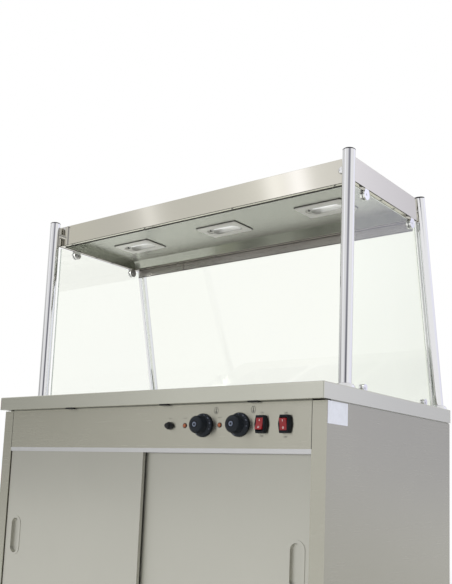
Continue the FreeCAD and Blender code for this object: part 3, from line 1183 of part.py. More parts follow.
def rear_glass_frame():
    """Placement of the rear pane: its lower edge's middle, leaning with the back posts."""
    foot_y = back_post_y(GLASS_BOTTOM) - REAR_GLASS_OFFSET / math.cos(LEAN)
    turn = FreeCAD.Rotation(Vector(1, 0, 0), math.degrees(LEAN))
    return FreeCAD.Placement(Vector(0, foot_y, GLASS_BOTTOM), turn)


def rear_glass_length():
    return (RAIL_TOP - RAIL_BITE - GLASS_BOTTOM) / math.cos(LEAN)


def rear_glass():
    """Rear pane, in front of the leaning posts, from the worktop up to the rail."""
    pane = box(-REAR_GLASS_HALF, REAR_GLASS_HALF, -GLASS / 2, GLASS / 2, 0, rear_glass_length())
    pane.Placement = rear_glass_frame()
    return pane


def clamp_block(radius):
    """A round glass clamp standing at the origin on z = 0, for a pane in the YZ plane."""
    half, slot, middle = CLAMP_WIDTH / 2, GLASS / 2 + GLASS_CLEARANCE, radius + 1
    body = fuse(box(-half, half, -radius * 0.7, radius * 0.7, 0, middle),
                rod(radius, (-half, 0, middle), (half, 0, middle)))
    ends = half + CLAMP_SCREW_PROUD
    screw = rod(CLAMP_SCREW_RADIUS, (-ends, 0, middle), (ends, 0, middle))
    gap = box(-slot, slot, -radius, radius, GLASS_FOOT, 2 * radius + 2)
    return fuse(body, screw).cut(gap)


def glass_clamps():
    """Clamps of the end panes under the canopy and on the worktop, and of the rear pane's foot."""
    upper = (CANOPY_FRONT + UPPER_CLAMPS_FROM_CANOPY[0], CANOPY_BACK - UPPER_CLAMPS_FROM_CANOPY[1])
    lower = (FRONT_POST_Y + LOWER_CLAMPS_FROM_POSTS[0], BACK_POST_Y - LOWER_CLAMPS_FROM_POSTS[1])
    clamps = []
    for side in (-1, 1):
        for y in upper:
            clamp = clamp_block(UPPER_CLAMP_RADIUS)
            clamp.rotate(Vector(), Vector(1, 0, 0), 180)
            clamp.translate(Vector(side * GLASS_X, y, CANOPY_BOTTOM))
            clamps.append(clamp)
        for y in lower:
            clamp = clamp_block(LOWER_CLAMP_RADIUS)
            clamp.translate(Vector(side * GLASS_X, y, TOP_HEIGHT))
            clamps.append(clamp)
        clamps.append(rear_foot_clamp(side * RAIL_CLIP_X))
    return Part.makeCompound(clamps)


def rear_foot_clamp(x):
    """Clamp on the worktop for the rear pane, slotted at the pane's lean."""
    frame = rear_glass_frame()
    y, radius = frame.Base.y, LOWER_CLAMP_RADIUS
    block = box(x - radius, x + radius, y - CLAMP_WIDTH / 2, y + CLAMP_WIDTH / 2,
                TOP_HEIGHT, TOP_HEIGHT + 2 * radius)
    upright = [edge for edge in block.Edges if abs(edge.BoundBox.YLength - CLAMP_WIDTH) < 1e-3
               and edge.BoundBox.ZMin > TOP_HEIGHT + radius]
    block = block.makeFillet(radius * 0.8, upright)
    slot = box(x - 2 * radius, x + 2 * radius, -GLASS / 2 - GLASS_CLEARANCE,
               GLASS / 2 + GLASS_CLEARANCE, 0, 4 * radius)
    slot.Placement = frame
    return block.cut(slot)


def rear_rail():
    """Angle rail behind the canopy that holds the rear pane's head, with its two clips."""
    y0 = RAIL_FRONT
    rail = fuse(box(-REAR_GLASS_HALF, REAR_GLASS_HALF, y0, y0 + RAIL_SHEET, RAIL_BOTTOM, RAIL_TOP),
                box(-REAR_GLASS_HALF, REAR_GLASS_HALF, y0, y0 + RAIL_LEG, RAIL_TOP - RAIL_SHEET, RAIL_TOP))
    frame = rear_glass_frame()
    clips = []
    for x in (-RAIL_CLIP_X, RAIL_CLIP_X):
        x0, x1 = x - RAIL_CLIP_WIDTH / 2, x + RAIL_CLIP_WIDTH / 2
        strap = box(x0, x1, CANOPY_BACK, y0, RAIL_BOTTOM + RAIL_BITE, CANOPY_BOTTOM + 3 * RAIL_BITE)
        head_y = back_post_y(RAIL_TOP) - REAR_GLASS_OFFSET / math.cos(LEAN)
        bridge = box(x0, x1, y0 + RAIL_SHEET, head_y + GLASS, RAIL_BOTTOM + RAIL_BITE, RAIL_TOP - RAIL_SHEET)
        slot = box(x0, x1, -GLASS / 2 - GLASS_CLEARANCE, GLASS / 2 + GLASS_CLEARANCE, 0, rear_glass_length())
        slot.Placement = frame
        clips += [strap, bridge.cut(slot)]
    return Part.makeCompound([rail] + clips)


# ---------------------------------------------------------------- build and write
def all_nodes():
    """Every named node with its shape."""
    nodes = {
        "worktop": worktop(),
        "well_tank": well_tank(),
        "well_cross_bars": well_cross_bars(),
        "side_panel_left": side_panel(-1),
        "side_panel_right": side_panel(1),
        "back_panel": back_panel(),
        "top_frame": top_frame(),
        "chassis_frame": chassis_frame(),
        "cabinet_floor": cabinet_floor(),
        "cupboard_lining": cupboard_lining(),
        "insulation_slabs": insulation_slabs(),
        "cupboard_shelf": cupboard_shelf(),
        "control_fascia": control_fascia(),
        "worktop_packers": worktop_packers(),
        "door_tracks": door_tracks(),
        "door_left": sliding_door(-1, 0),
        "door_right": sliding_door(1, 1),
        "castor_plates": castor_plates(),
        "tank_element": tank_element(),
        "cupboard_element": cupboard_element(),
        "element_guard": element_guard(),
        "thermostats": thermostats(),
        "knob_cupboard": thermostat_knob(KNOB_X[0]),
        "knob_well": thermostat_knob(KNOB_X[1]),
        "spindle_cupboard": knob_spindle(KNOB_X[0]),
        "spindle_well": knob_spindle(KNOB_X[1]),
        "neon_lamps": neon_lamps(),
        "switch_bodies": switch_bodies(),
        "rocker_lamps": switch_rocker(SWITCH_X[0], -ROCKER_TILT),
        "rocker_well": switch_rocker(SWITCH_X[1], ROCKER_TILT),
        "reset_collar": reset_collar(),
        "reset_button": reset_button(),
        "cable_gland": cable_gland(),
        "front_posts": front_posts(),
        "back_posts": back_posts(),
        "post_caps": post_caps(),
        "post_flanges": post_flanges(),
        "gantry_fixings": gantry_fixings(),
        "canopy_shell": canopy_shell(),
        "canopy_pan": canopy_pan(),
        "lamp_bezels": lamp_bezels(),
        "lamp_reflectors": lamp_reflectors(),
        "lamp_tubes": lamp_tubes(),
        "end_glasses": end_glasses(),
        "rear_glass": rear_glass(),
        "glass_clamps": glass_clamps(),
        "rear_rail": rear_rail(),
    }
    for name, x in zip(("left", "middle", "right"), PAN_XS):
        nodes["food_pan_" + name] = food_pan(x)
    for side, end in CORNERS:
        corner = ("front" if end < 0 else "back") + ("_left" if side < 0 else "_right")
        nodes["castor_fork_" + corner] = castor_fork(side, end)
        nodes["castor_wheel_" + corner] = castor_wheel(side, end)
        if has_brake(end):
            nodes["brake_pedal_" + corner] = brake_pedal(side, end)
    return nodes


def main():
    os.makedirs("parts", exist_ok=True)
    for name, shape in all_nodes().items():
        if not shape.isValid():
            print("invalid shape:", name)
        shape.exportStep(os.path.join("parts", name + ".step"))
        print(name, len(shape.Solids), "solids", round(shape.Volume / 1000.0, 2), "cm3")


main()
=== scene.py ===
"""Finishes, fine detail, light and camera for a mobile heated servery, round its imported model."""
import json
import logging
import math
from dataclasses import dataclass, field
from enum import Enum
from typing import Iterable, Sequence

import bmesh
import bpy
from mathutils import Matrix, Vector


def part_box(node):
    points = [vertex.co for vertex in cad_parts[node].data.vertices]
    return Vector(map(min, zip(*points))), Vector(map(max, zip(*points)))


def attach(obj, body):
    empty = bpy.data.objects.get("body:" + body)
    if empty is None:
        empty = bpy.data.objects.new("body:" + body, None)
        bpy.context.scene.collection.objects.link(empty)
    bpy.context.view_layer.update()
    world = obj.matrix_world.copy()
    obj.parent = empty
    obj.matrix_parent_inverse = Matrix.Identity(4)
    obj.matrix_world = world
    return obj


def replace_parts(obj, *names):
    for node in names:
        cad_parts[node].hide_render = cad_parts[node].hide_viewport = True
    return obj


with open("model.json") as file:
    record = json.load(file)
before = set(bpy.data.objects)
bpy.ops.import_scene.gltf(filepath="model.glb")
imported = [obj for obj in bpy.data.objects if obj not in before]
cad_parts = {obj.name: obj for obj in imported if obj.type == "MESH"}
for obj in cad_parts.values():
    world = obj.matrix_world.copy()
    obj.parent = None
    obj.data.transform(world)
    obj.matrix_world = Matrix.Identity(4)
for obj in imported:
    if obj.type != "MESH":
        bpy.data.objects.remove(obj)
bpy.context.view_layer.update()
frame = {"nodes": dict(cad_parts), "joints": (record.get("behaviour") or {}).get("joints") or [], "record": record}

LOG = logging.getLogger("servery")
MM = 0.001
WHITE = (1.0, 1.0, 1.0, 1.0)
Point = tuple[float, float, float]
Pair = tuple[float, float]
Level = tuple[float, ...]
Material = bpy.types.Material
Node = bpy.types.Node
Socket = bpy.types.NodeSocket
Tree = bpy.types.NodeTree


# ---- finishes
class Grain(Enum):
    """Direction a sheet was brushed in."""

    LENGTH = "X"
    HEIGHT = "Z"


class NodeBuilder:
    """Adds and links nodes in one tree, so that a finish reads as a short list of steps."""

    def __init__(self, tree: Tree) -> None:
        """Keeps the material's, world's or group's node tree to build in."""
        self.tree = tree

    def add(self, kind: str, **settings: object) -> Node:
        """Adds a node of a type, sets its properties and returns it."""
        node = self.tree.nodes.new(kind)
        for key, value in settings.items():
            setattr(node, key, value)
        return node

    @staticmethod
    def assign(node: Node, **values: object) -> Node:
        """Sets a node's inputs, named with underscores for spaces, and returns the node."""
        for key, value in values.items():
            node.inputs[key.replace("_", " ")].default_value = value
        return node

    def place(self, group: Tree, **values: object) -> Node:
        """Adds a shared group, sets its inputs as assign does, and returns its node."""
        return self.assign(self.add("ShaderNodeGroup", node_tree=group), **values)

    def link(self, source: Socket, target: Socket) -> None:
        """Joins an output socket to an input socket."""
        self.tree.links.new(source, target)

    def feed(self, socket: Socket, value: object) -> None:
        """Links a socket, or sets it where the value is a plain number or colour."""
        if isinstance(value, Socket):
            self.link(value, socket)
        else:
            socket.default_value = value

    def math(self, operation: str, first: object, second: object = 0.0, third: object = 0.0,
             clamp: bool = False) -> Socket:
        """Adds a math node.

        Args:
            operation: Name of the operation.
            first: First operand, a socket or a number.
            second: Second operand, a socket or a number.
            third: Third operand, which only MULTIPLY_ADD reads here.
            clamp: Whether the result is held between 0 and 1.

        Returns:
            The result's socket.
        """
        node = self.add("ShaderNodeMath", operation=operation, use_clamp=clamp)
        for socket, item in zip(node.inputs, (first, second, third)):
            self.feed(socket, item)
        return node.outputs[0]

    def vector(self, operation: str, first: object, second: object) -> Socket:
        """Adds a vector math node and returns its first output."""
        node = self.add("ShaderNodeVectorMath", operation=operation)
        self.feed(node.inputs[0], first)
        self.feed(node.inputs[1], second)
        return node.outputs[0]

    def mix(self, factor: object, first: object, second: object, blend: str = "MIX") -> Socket:
        """Adds a colour mix node, by the share of the second colour, and returns its colour."""
        node = self.add("ShaderNodeMix", data_type="RGBA", blend_type=blend)
        self.feed(node.inputs[0], factor)
        self.feed(node.inputs[6], first)
        self.feed(node.inputs[7], second)
        return node.outputs[2]

    def blend(self, factor: object, first: Node, second: Node) -> Node:
        """Mixes two shaders by a factor and returns the mix's node."""
        node = self.add("ShaderNodeMixShader")
        for socket, item in zip(node.inputs, (factor, first.outputs[0], second.outputs[0])):
            self.feed(socket, item)
        return node

    def noise(self, vector: object, scale: float, detail: float) -> Socket:
        """Adds a noise texture and returns its value output."""
        node = self.assign(self.add("ShaderNodeTexNoise"), Scale=scale, Detail=detail)
        self.feed(node.inputs["Vector"], vector)
        return node.outputs[0]

    def remap(self, value: object, low: float, high: float, to_low: object = 0.0,
              to_high: object = 1.0) -> Socket:
        """Adds a clamped map range node, to 0 and 1 unless told, and returns its result."""
        node = self.add("ShaderNodeMapRange")
        for socket, item in zip(node.inputs, (value, low, high, to_low, to_high)):
            self.feed(socket, item)
        return node.outputs[0]


class SharedGroups:
    """Node groups that several finishes use, each built once."""

    def __init__(self) -> None:
        """Builds the groups."""
        self.brushing = self._brushing()
        self.handling = self._handling()
        self.moulding = self._moulding()

    @staticmethod
    def _new(name: str, inputs: dict[str, object], outputs: Sequence[str]) -> tuple:
        """Makes an empty group with named sockets.

        Args:
            name: Group's name.
            inputs: Default of each input by its name: a vector or a number.
            outputs: Names of the outputs, all numbers.

        Returns:
            The group, its builder, its input node and its output node.
        """
        group = bpy.data.node_groups.new(name, "ShaderNodeTree")
        for label, default in inputs.items():
            kind = "NodeSocketVector" if isinstance(default, tuple) else "NodeSocketFloat"
            socket = group.interface.new_socket(name=label, in_out="INPUT", socket_type=kind)
            socket.default_value = default
        for label in outputs:
            group.interface.new_socket(name=label, in_out="OUTPUT", socket_type="NodeSocketFloat")
        build = NodeBuilder(group)
        return group, build, build.add("NodeGroupInput"), build.add("NodeGroupOutput")

    def _brushing(self) -> Tree:
        """Fine parallel scratches of brushed sheet, as a colour factor that also holds painted light on the end
        faces, a roughness factor and a height.

        Returns:
            The group, whose Stretch input squeezes the pattern across the brushing and whose End Painted Light
            scales the colour of the faces across the length: painted shade below 1, painted highlight above 1.
        """
        group, build, given, result = self._new(
            "brushing",
            {"Stretch": (1.0, 1.0, 1.0), "End Stretch": (1.0, 1.0, 1.0), "Contrast": 0.1, "End Shade": 1.0},
            ("Shade", "Rough", "Height"))
        place = build.add("ShaderNodeTexCoord")
        facing = build.add("ShaderNodeSeparateXYZ")
        build.link(place.outputs["Normal"], facing.inputs[0])
        on_end = build.math("GREATER_THAN", build.math("ABSOLUTE", facing.outputs[0]), 0.7)
        stretch = build.add("ShaderNodeMix", data_type="VECTOR")
        build.link(on_end, stretch.inputs[0])
        build.link(given.outputs["Stretch"], stretch.inputs[4])
        build.link(given.outputs["End Stretch"], stretch.inputs[5])
        squeezed = build.vector("MULTIPLY", place.outputs["Object"], stretch.outputs[1])
        fine = build.noise(squeezed, 9.0, 3.0)
        broad = build.noise(build.vector("MULTIPLY", squeezed, (0.3, 0.3, 0.3)), 2.0, 2.0)
        scratches = build.math("MULTIPLY_ADD", fine, 0.7, build.math("MULTIPLY", broad, 0.3))
        centred = build.math("SUBTRACT", scratches, 0.5)
        lines = build.math("MULTIPLY_ADD", centred, given.outputs["Contrast"], 1.0)
        # painted light: the end faces' colour is multiplied by End Painted Light, painted shade below 1 and
        # painted highlight above 1
        end_painted_light = build.remap(on_end, 0.0, 1.0, 1.0, given.outputs["End Shade"])
        build.link(build.math("MULTIPLY", lines, end_painted_light), result.inputs["Shade"])
        build.link(build.math("MULTIPLY_ADD", centred, 0.35, 1.0), result.inputs["Rough"])
        build.link(scratches, result.inputs["Height"])
        return group

    def _handling(self) -> Tree:
        """Soft cloudy marks left by hands and cloths, as a value round 0.

        Returns:
            The group, whose Size input is the clouds' number per metre.
        """
        group, build, given, result = self._new("handling", {"Size": 6.0, "Amount": 0.1}, ("Marks",))
        place = build.add("ShaderNodeTexCoord")
        clouds = build.assign(build.add("ShaderNodeTexNoise"), Detail=4.0, Distortion=0.6)
        build.link(place.outputs["Object"], clouds.inputs["Vector"])
        build.link(given.outputs["Size"], clouds.inputs["Scale"])
        centred = build.math("SUBTRACT", clouds.outputs[0], 0.5)
        build.link(build.math("MULTIPLY", centred, given.outputs["Amount"]), result.inputs["Marks"])
        return group

    def _moulding(self) -> Tree:
        """Fine pebbled skin of moulded plastic and rubber, as a height.

        Returns:
            The group, whose Size input is the pebbles' number per metre.
        """
        group, build, given, result = self._new("moulding", {"Size": 1800.0}, ("Height",))
        place = build.add("ShaderNodeTexCoord")
        cells = build.add("ShaderNodeTexVoronoi", feature="SMOOTH_F1")
        build.link(place.outputs["Object"], cells.inputs["Vector"])
        build.link(given.outputs["Size"], cells.inputs["Scale"])
        build.link(cells.outputs["Distance"], result.inputs["Height"])
        return group


@dataclass(frozen=True)
class Finish:
    """A surface finish. Each kind says how its material is built."""

    name: str
    colour: Point
    roughness: float

    def start(self, **values: object) -> tuple[Material, NodeBuilder, Node]:
        """Makes the material with a plain Principled shader.

        Args:
            **values: Values of the shader's inputs, with underscores for spaces.

        Returns:
            The material, a builder for its tree and its shader.
        """
        material = bpy.data.materials.new(self.name)
        material.use_nodes = True
        material.diffuse_color = (*self.colour, 1.0)
        build = NodeBuilder(material.node_tree)
        shader = material.node_tree.nodes["Principled BSDF"]
        build.assign(shader, Base_Color=(*self.colour, 1.0), Roughness=self.roughness, **values)
        return material, build, shader

    @staticmethod
    def bump(build: NodeBuilder, shader: Node, height: Socket, depth: float) -> None:
        """Feeds a height from 0 to 1 to the shader's normal, as a relief of that depth in metres."""
        bump = build.assign(build.add("ShaderNodeBump"), Strength=1.0, Distance=depth)
        build.link(height, bump.inputs["Height"])
        build.link(bump.outputs[0], shader.inputs["Normal"])

    def tint(self, build: NodeBuilder, shader: Node, factor: Socket) -> None:
        """Multiplies the base colour by a value that changes over the surface."""
        grey = build.add("ShaderNodeCombineColor")
        for socket in grey.inputs:
            build.feed(socket, factor)
        colour = build.mix(1.0, (*self.colour, 1.0), grey.outputs[0], "MULTIPLY")
        build.link(colour, shader.inputs["Base Color"])

    def handle(self, build: NodeBuilder, shader: Node, marks: Node, share: float = 1.0) -> None:
        """Puts a share of the handling marks in the base colour."""
        self.tint(build, shader, build.math("MULTIPLY_ADD", marks.outputs["Marks"], share, 1.0))

    def dull(self, build: NodeBuilder, shader: Node, marks: Node) -> None:
        """Puts handling marks in the roughness."""
        rough = build.math("ADD", marks.outputs["Marks"], self.roughness, clamp=True)
        build.link(rough, shader.inputs["Roughness"])


@dataclass(frozen=True)
class BrushedSteel(Finish):
    """Stainless sheet with a directional brushed grain, in scratches per metre along it and across it."""

    grain: Grain = Grain.LENGTH
    contrast: float = 0.05
    smear: float = 0.85
    clouding: float = 0.06
    # painted light on the end faces: their base colour is multiplied by this, painted shade below 1, painted
    # highlight above 1
    end_painted_light: float = 1.0
    scratches: Pair = (2.0, 260.0)
    depth: float = 0.000004

    def make(self, shared: SharedGroups) -> Material:
        """Builds the material from the shared groups and returns it."""
        material, build, shader = self.start(Metallic=1.0, Anisotropic=self.smear)
        along, across = self.scratches
        stretch = end_stretch = (across, across, along)
        axis = (0.01, 0.02, 1.0)
        if self.grain is Grain.LENGTH:
            stretch, end_stretch = (along, across, across), (across, along, across)
            axis = (1.0, 0.02, 0.01)
        brushing = build.place(shared.brushing, Stretch=stretch, End_Stretch=end_stretch,
                               Contrast=self.contrast, End_Shade=self.end_painted_light)
        marks = build.place(shared.handling, Size=5.0, Amount=self.clouding).outputs["Marks"]
        self.tint(build, shader, build.math("ADD", brushing.outputs["Shade"], marks))
        spread = build.math("MULTIPLY", brushing.outputs["Rough"], self.roughness)
        rough = build.math("MULTIPLY_ADD", marks, 0.5, spread, clamp=True)
        build.link(rough, shader.inputs["Roughness"])
        self.bump(build, shader, brushing.outputs["Height"], self.depth)
        surface = build.add("ShaderNodeNewGeometry")
        build.link(build.vector("CROSS_PRODUCT", surface.outputs["Normal"], axis), shader.inputs["Tangent"])
        return material


@dataclass(frozen=True)
class PolishedMetal(Finish):
    """Mirror-polished or plated metal with faint handling marks."""

    marks: float = 0.12

    def make(self, shared: SharedGroups) -> Material:
        """Builds the material from the shared groups and returns it."""
        material, build, shader = self.start(Metallic=1.0)
        marks = build.place(shared.handling, Size=40.0, Amount=self.marks)
        self.dull(build, shader, marks)
        self.handle(build, shader, marks, share=0.3)
        return material


@dataclass(frozen=True)
class Moulded(Finish):
    """Moulded plastic or rubber with a fine pebbled skin."""

    pebbles: float = 1800.0
    depth: float = 0.00003
    gloss: float = 0.5

    def make(self, shared: SharedGroups) -> Material:
        """Builds the material from the shared groups and returns it."""
        material, build, shader = self.start(Specular_IOR_Level=self.gloss)
        marks = build.place(shared.handling, Size=60.0, Amount=0.25)
        self.dull(build, shader, marks)
        self.handle(build, shader, marks)
        skin = build.place(shared.moulding, Size=self.pebbles)
        self.bump(build, shader, skin.outputs["Height"], self.depth)
        return material


@dataclass(frozen=True)
class Translucent(Finish):
    """Tinted see-through moulding or glass, such as a neon's lens, a lit rocker or a pane."""

    through: float = 0.6
    glow: float = 0.0
    index: float = 1.46
    mark_size: float = 300.0
    marks: float = 0.35

    def make(self, shared: SharedGroups) -> Material:
        """Builds the material from the shared groups and returns it."""
        material, build, shader = self.start(Transmission_Weight=self.through, IOR=self.index,
                                             Emission_Color=(*self.colour, 1.0), Emission_Strength=self.glow)
        self.handle(build, shader, build.place(shared.handling, Size=self.mark_size, Amount=self.marks))
        return material


class Palette:
    """Every finish of the servery, by name, and the CAD nodes that it dresses."""

    FINISHES = (
        # worktop_steel's end faces get a painted highlight (1.06) and panel_steel's a painted shade (0.86)
        BrushedSteel("worktop_steel", (0.545, 0.545, 0.475), 0.22, contrast=0.03, clouding=0.04,
                     end_painted_light=1.06),
        BrushedSteel("panel_steel", (0.43, 0.422, 0.357), 0.26, contrast=0.03, clouding=0.05, end_painted_light=0.86),
        BrushedSteel("door_steel", (0.5, 0.495, 0.44), 0.32, Grain.HEIGHT),
        BrushedSteel("tank_steel", (0.52, 0.52, 0.5), 0.34),
        BrushedSteel("lining_steel", (0.5, 0.5, 0.48), 0.38),
        BrushedSteel("frame_steel", (0.42, 0.42, 0.4), 0.42),
        BrushedSteel("canopy_steel", (0.62, 0.598, 0.522), 0.1, contrast=0.03, smear=0.95, clouding=0.03),
        BrushedSteel("pan_steel", (0.48, 0.49, 0.44), 0.24, contrast=0.03, clouding=0.05),
        BrushedSteel("gastronorm_steel", (0.62, 0.62, 0.6), 0.22),
        BrushedSteel("bezel_steel", (0.7, 0.69, 0.66), 0.34, contrast=0.03),
        BrushedSteel("rail_steel", (0.44, 0.42, 0.4), 0.28),
        PolishedMetal("polished_tube", (0.78, 0.78, 0.79), 0.05, marks=0.04),
        PolishedMetal("polished_fitting", (0.8, 0.8, 0.81), 0.09),
        PolishedMetal("spindle_metal", (0.2, 0.23, 0.3), 0.3),
        PolishedMetal("track_aluminium", (0.6, 0.6, 0.6), 0.34),
        PolishedMetal("reflector_aluminium", (0.93, 0.93, 0.9), 0.5),
        PolishedMetal("zinc_plate", (0.6, 0.61, 0.63), 0.3, marks=0.2),
        PolishedMetal("pedal_zinc", (0.5, 0.51, 0.53), 0.34, marks=0.2),
        PolishedMetal("element_sheath", (0.24, 0.23, 0.22), 0.45, marks=0.3),
        PolishedMetal("screw_steel", (0.34, 0.34, 0.32), 0.26),
        PolishedMetal("lamp_coil", (0.88, 0.87, 0.84), 0.3),
        # gap_steel colours the strip of painted shade in the gap above the fascia
        PolishedMetal("gap_steel", (0.26, 0.26, 0.22), 0.45),
        Moulded("mineral_wool", (0.6, 0.54, 0.36), 0.95, pebbles=300.0, depth=0.001),
        Moulded("black_plastic", (0.014, 0.015, 0.016), 0.5, gloss=0.25),
        Moulded("cap_plastic", (0.01, 0.01, 0.012), 0.5, depth=0.00001, gloss=0.15),
        Moulded("knob_plastic", (0.008, 0.011, 0.015), 0.5, pebbles=2400.0, gloss=0.22),
        Moulded("switch_plastic", (0.006, 0.008, 0.011), 0.5, gloss=0.18),
        # dark_seam colours the strips of painted shadow in the fascia's joints
        Moulded("dark_seam", (0.01, 0.01, 0.01), 0.7, gloss=0.1),
        # seal_rubber colours the dark strips of painted shadow under the canopy and on the rear rail
        Moulded("seal_rubber", (0.075, 0.073, 0.066), 0.7, depth=0.00001, gloss=0.15),
        Moulded("neon_collar", (0.055, 0.022, 0.015), 0.45, gloss=0.3),
        Moulded("grey_tyre", (0.1, 0.1, 0.105), 0.62),
        Moulded("wheel_centre", (0.34, 0.35, 0.36), 0.45),
        Moulded("dial_print", (0.17, 0.19, 0.25), 0.6, depth=0.0),
        Moulded("print_white", (0.72, 0.7, 0.7), 0.5, depth=0.0),
        Moulded("print_grey", (0.06, 0.06, 0.055), 0.6, depth=0.0),
        Moulded("label_film", (0.66, 0.68, 0.75), 0.42, depth=0.000004),
        Moulded("lamp_ceramic", (0.86, 0.86, 0.83), 0.5, pebbles=900.0),
        Moulded("ground_glass", (0.8, 0.87, 0.8), 0.5, depth=0.00001, gloss=0.4),
        Translucent("red_rocker", (0.24, 0.007, 0.01), 0.3, through=0.1),
        Translucent("amber_lens", (0.36, 0.105, 0.04), 0.24, through=0.15),
        Translucent("lamp_quartz", (0.95, 0.96, 0.96), 0.12, through=0.4, glow=0.35),
        Translucent("clear_glass", (0.952, 0.97, 0.912), 0.0, through=1.0, index=1.5, mark_size=3.0,
                    marks=0.02),
    )

    def __init__(self) -> None:
        """Builds every material."""
        shared = SharedGroups()
        self.materials = {finish.name: finish.make(shared) for finish in self.FINISHES}

    def __getitem__(self, name: str) -> Material:
        """Returns the material of that name."""
        return self.materials[name]

    def dress_frame(self) -> None:
        """Gives each CAD node the finish named by its slot in the record."""
        for part in frame["record"]["subparts"]:
            node = frame["nodes"][part["node"]]
            for slot in node.material_slots:
                slot.material = self.materials[part["material_slot"]]


# ---- modelling helpers
@dataclass
class Piece:
    """A new visible piece in the making: a bmesh that ends as an object riding on a body.

    Its slot names one of the record's material slots; its finish is the material handed to finish.
    """

    name: str
    slot: str
    body: str = "cabinet"
    bm: bmesh.types.BMesh = field(default_factory=bmesh.new)

    def since(self, before: set) -> list:
        """Returns the vertices that weren't there before."""
        return [vert for vert in self.bm.verts if vert not in before]

    def lathe(self, profile: Sequence[Pair], steps: int, place: Matrix) -> None:
        """Spins an outline about Z and sets it in place.

        Args:
            profile: Points of radius and height in millimetres, from one end of the axis to the other.
            steps: Number of steps round.
            place: Where the turned shape goes.
        """
        before = set(self.bm.verts)
        verts = [self.bm.verts.new((radius * MM, 0.0, height * MM)) for radius, height in profile]
        edges = [self.bm.edges.new(pair) for pair in zip(verts, verts[1:])]
        bmesh.ops.spin(self.bm, geom=verts + edges, cent=(0, 0, 0), axis=(0, 0, 1), angle=math.tau,
                       steps=steps, use_merge=True, use_duplicate=False)
        bmesh.ops.remove_doubles(self.bm, verts=self.since(before), dist=1e-7)
        bmesh.ops.transform(self.bm, matrix=place, verts=self.since(before))

    def block(self, size: Point, place: Matrix, bevel: float = 0.0) -> None:
        """Adds a box with rounded edges.

        Args:
            size: Length along X, Y and Z.
            place: Where the box's centre goes.
            bevel: Radius of its edges.
        """
        before = set(self.bm.verts)
        made = bmesh.ops.create_cube(self.bm, size=1.0)
        bmesh.ops.scale(self.bm, vec=size, verts=made["verts"])
        if bevel > 0.0:
            edges = list({edge for vert in made["verts"] for edge in vert.link_edges})
            bmesh.ops.bevel(self.bm, geom=edges, offset=bevel, offset_type="OFFSET", segments=2,
                            profile=0.5, affect="EDGES", material=-1)
        bmesh.ops.transform(self.bm, matrix=place, verts=self.since(before))

    def absorb(self, mesh: bpy.types.Mesh, place: Matrix) -> None:
        """Adds a copy of a mesh at a place, and deletes the mesh."""
        mesh.transform(place)
        self.bm.from_mesh(mesh)
        bpy.data.meshes.remove(mesh)

    def finish(self, material: Material, sharp: float = 30.0, closed: bool = True) -> bpy.types.Object:
        """Closes the piece and sets it in the scene.

        Args:
            material: Its finish.
            sharp: Edges that turn more than this many degrees stay sharp.
            closed: Whether its shells are closed. The faces of an open skin keep the way they were made.

        Returns:
            The object.
        """
        if closed:
            bmesh.ops.recalc_face_normals(self.bm, faces=self.bm.faces)
        mesh = bpy.data.meshes.new(self.name)
        self.bm.to_mesh(mesh)
        self.bm.free()
        mesh.materials.append(material)
        mesh.shade_smooth()
        mesh.set_sharp_from_angle(angle=math.radians(sharp))
        piece = bpy.data.objects.new(self.name, mesh)
        bpy.context.scene.collection.objects.link(piece)
        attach(piece, self.body)
        LOG.info("%s: %d faces on %s", self.name, len(mesh.polygons), self.body)
        return piece


def at(x: float, y: float, z: float) -> Matrix:
    """Returns a move to a point."""
    return Matrix.Translation((x, y, z))


def facing(direction: Sequence[float]) -> Matrix:
    """Returns a turn that takes +Z to a direction."""
    return Vector(direction).to_track_quat("Z", "Y").to_matrix().to_4x4()


def turned(degrees: float, axis: str) -> Matrix:
    """Returns a turn about an axis through the origin."""
    return Matrix.Rotation(math.radians(degrees), 4, axis)


def centre(node: str) -> Vector:
    """Returns the middle of a CAD node's box."""
    low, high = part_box(node)
    return (low + high) / 2


FRONTWARD = facing((0, -1, 0))
CAPITAL_SHARE = 0.7  # height of a capital over the font's size


def words(text: str, height: float, thickness: float = 0.00008) -> bpy.types.Mesh:
    """Makes a mesh of upright text in the XY plane, centred on the origin.

    Args:
        text: What it says.
        height: Height of its capitals in metres.
        thickness: Thickness of the print.

    Returns:
        The mesh.
    """
    curve = bpy.data.curves.new("words", "FONT")
    curve.body = text
    curve.align_x = curve.align_y = "CENTER"
    curve.size = height / CAPITAL_SHARE
    curve.extrude = thickness
    curve.resolution_u = 3
    holder = bpy.data.objects.new("words", curve)
    bpy.context.scene.collection.objects.link(holder)
    bpy.context.view_layer.update()
    mesh = bpy.data.meshes.new_from_object(holder.evaluated_get(bpy.context.evaluated_depsgraph_get()))
    bpy.data.objects.remove(holder)
    bpy.data.curves.remove(curve)
    return mesh


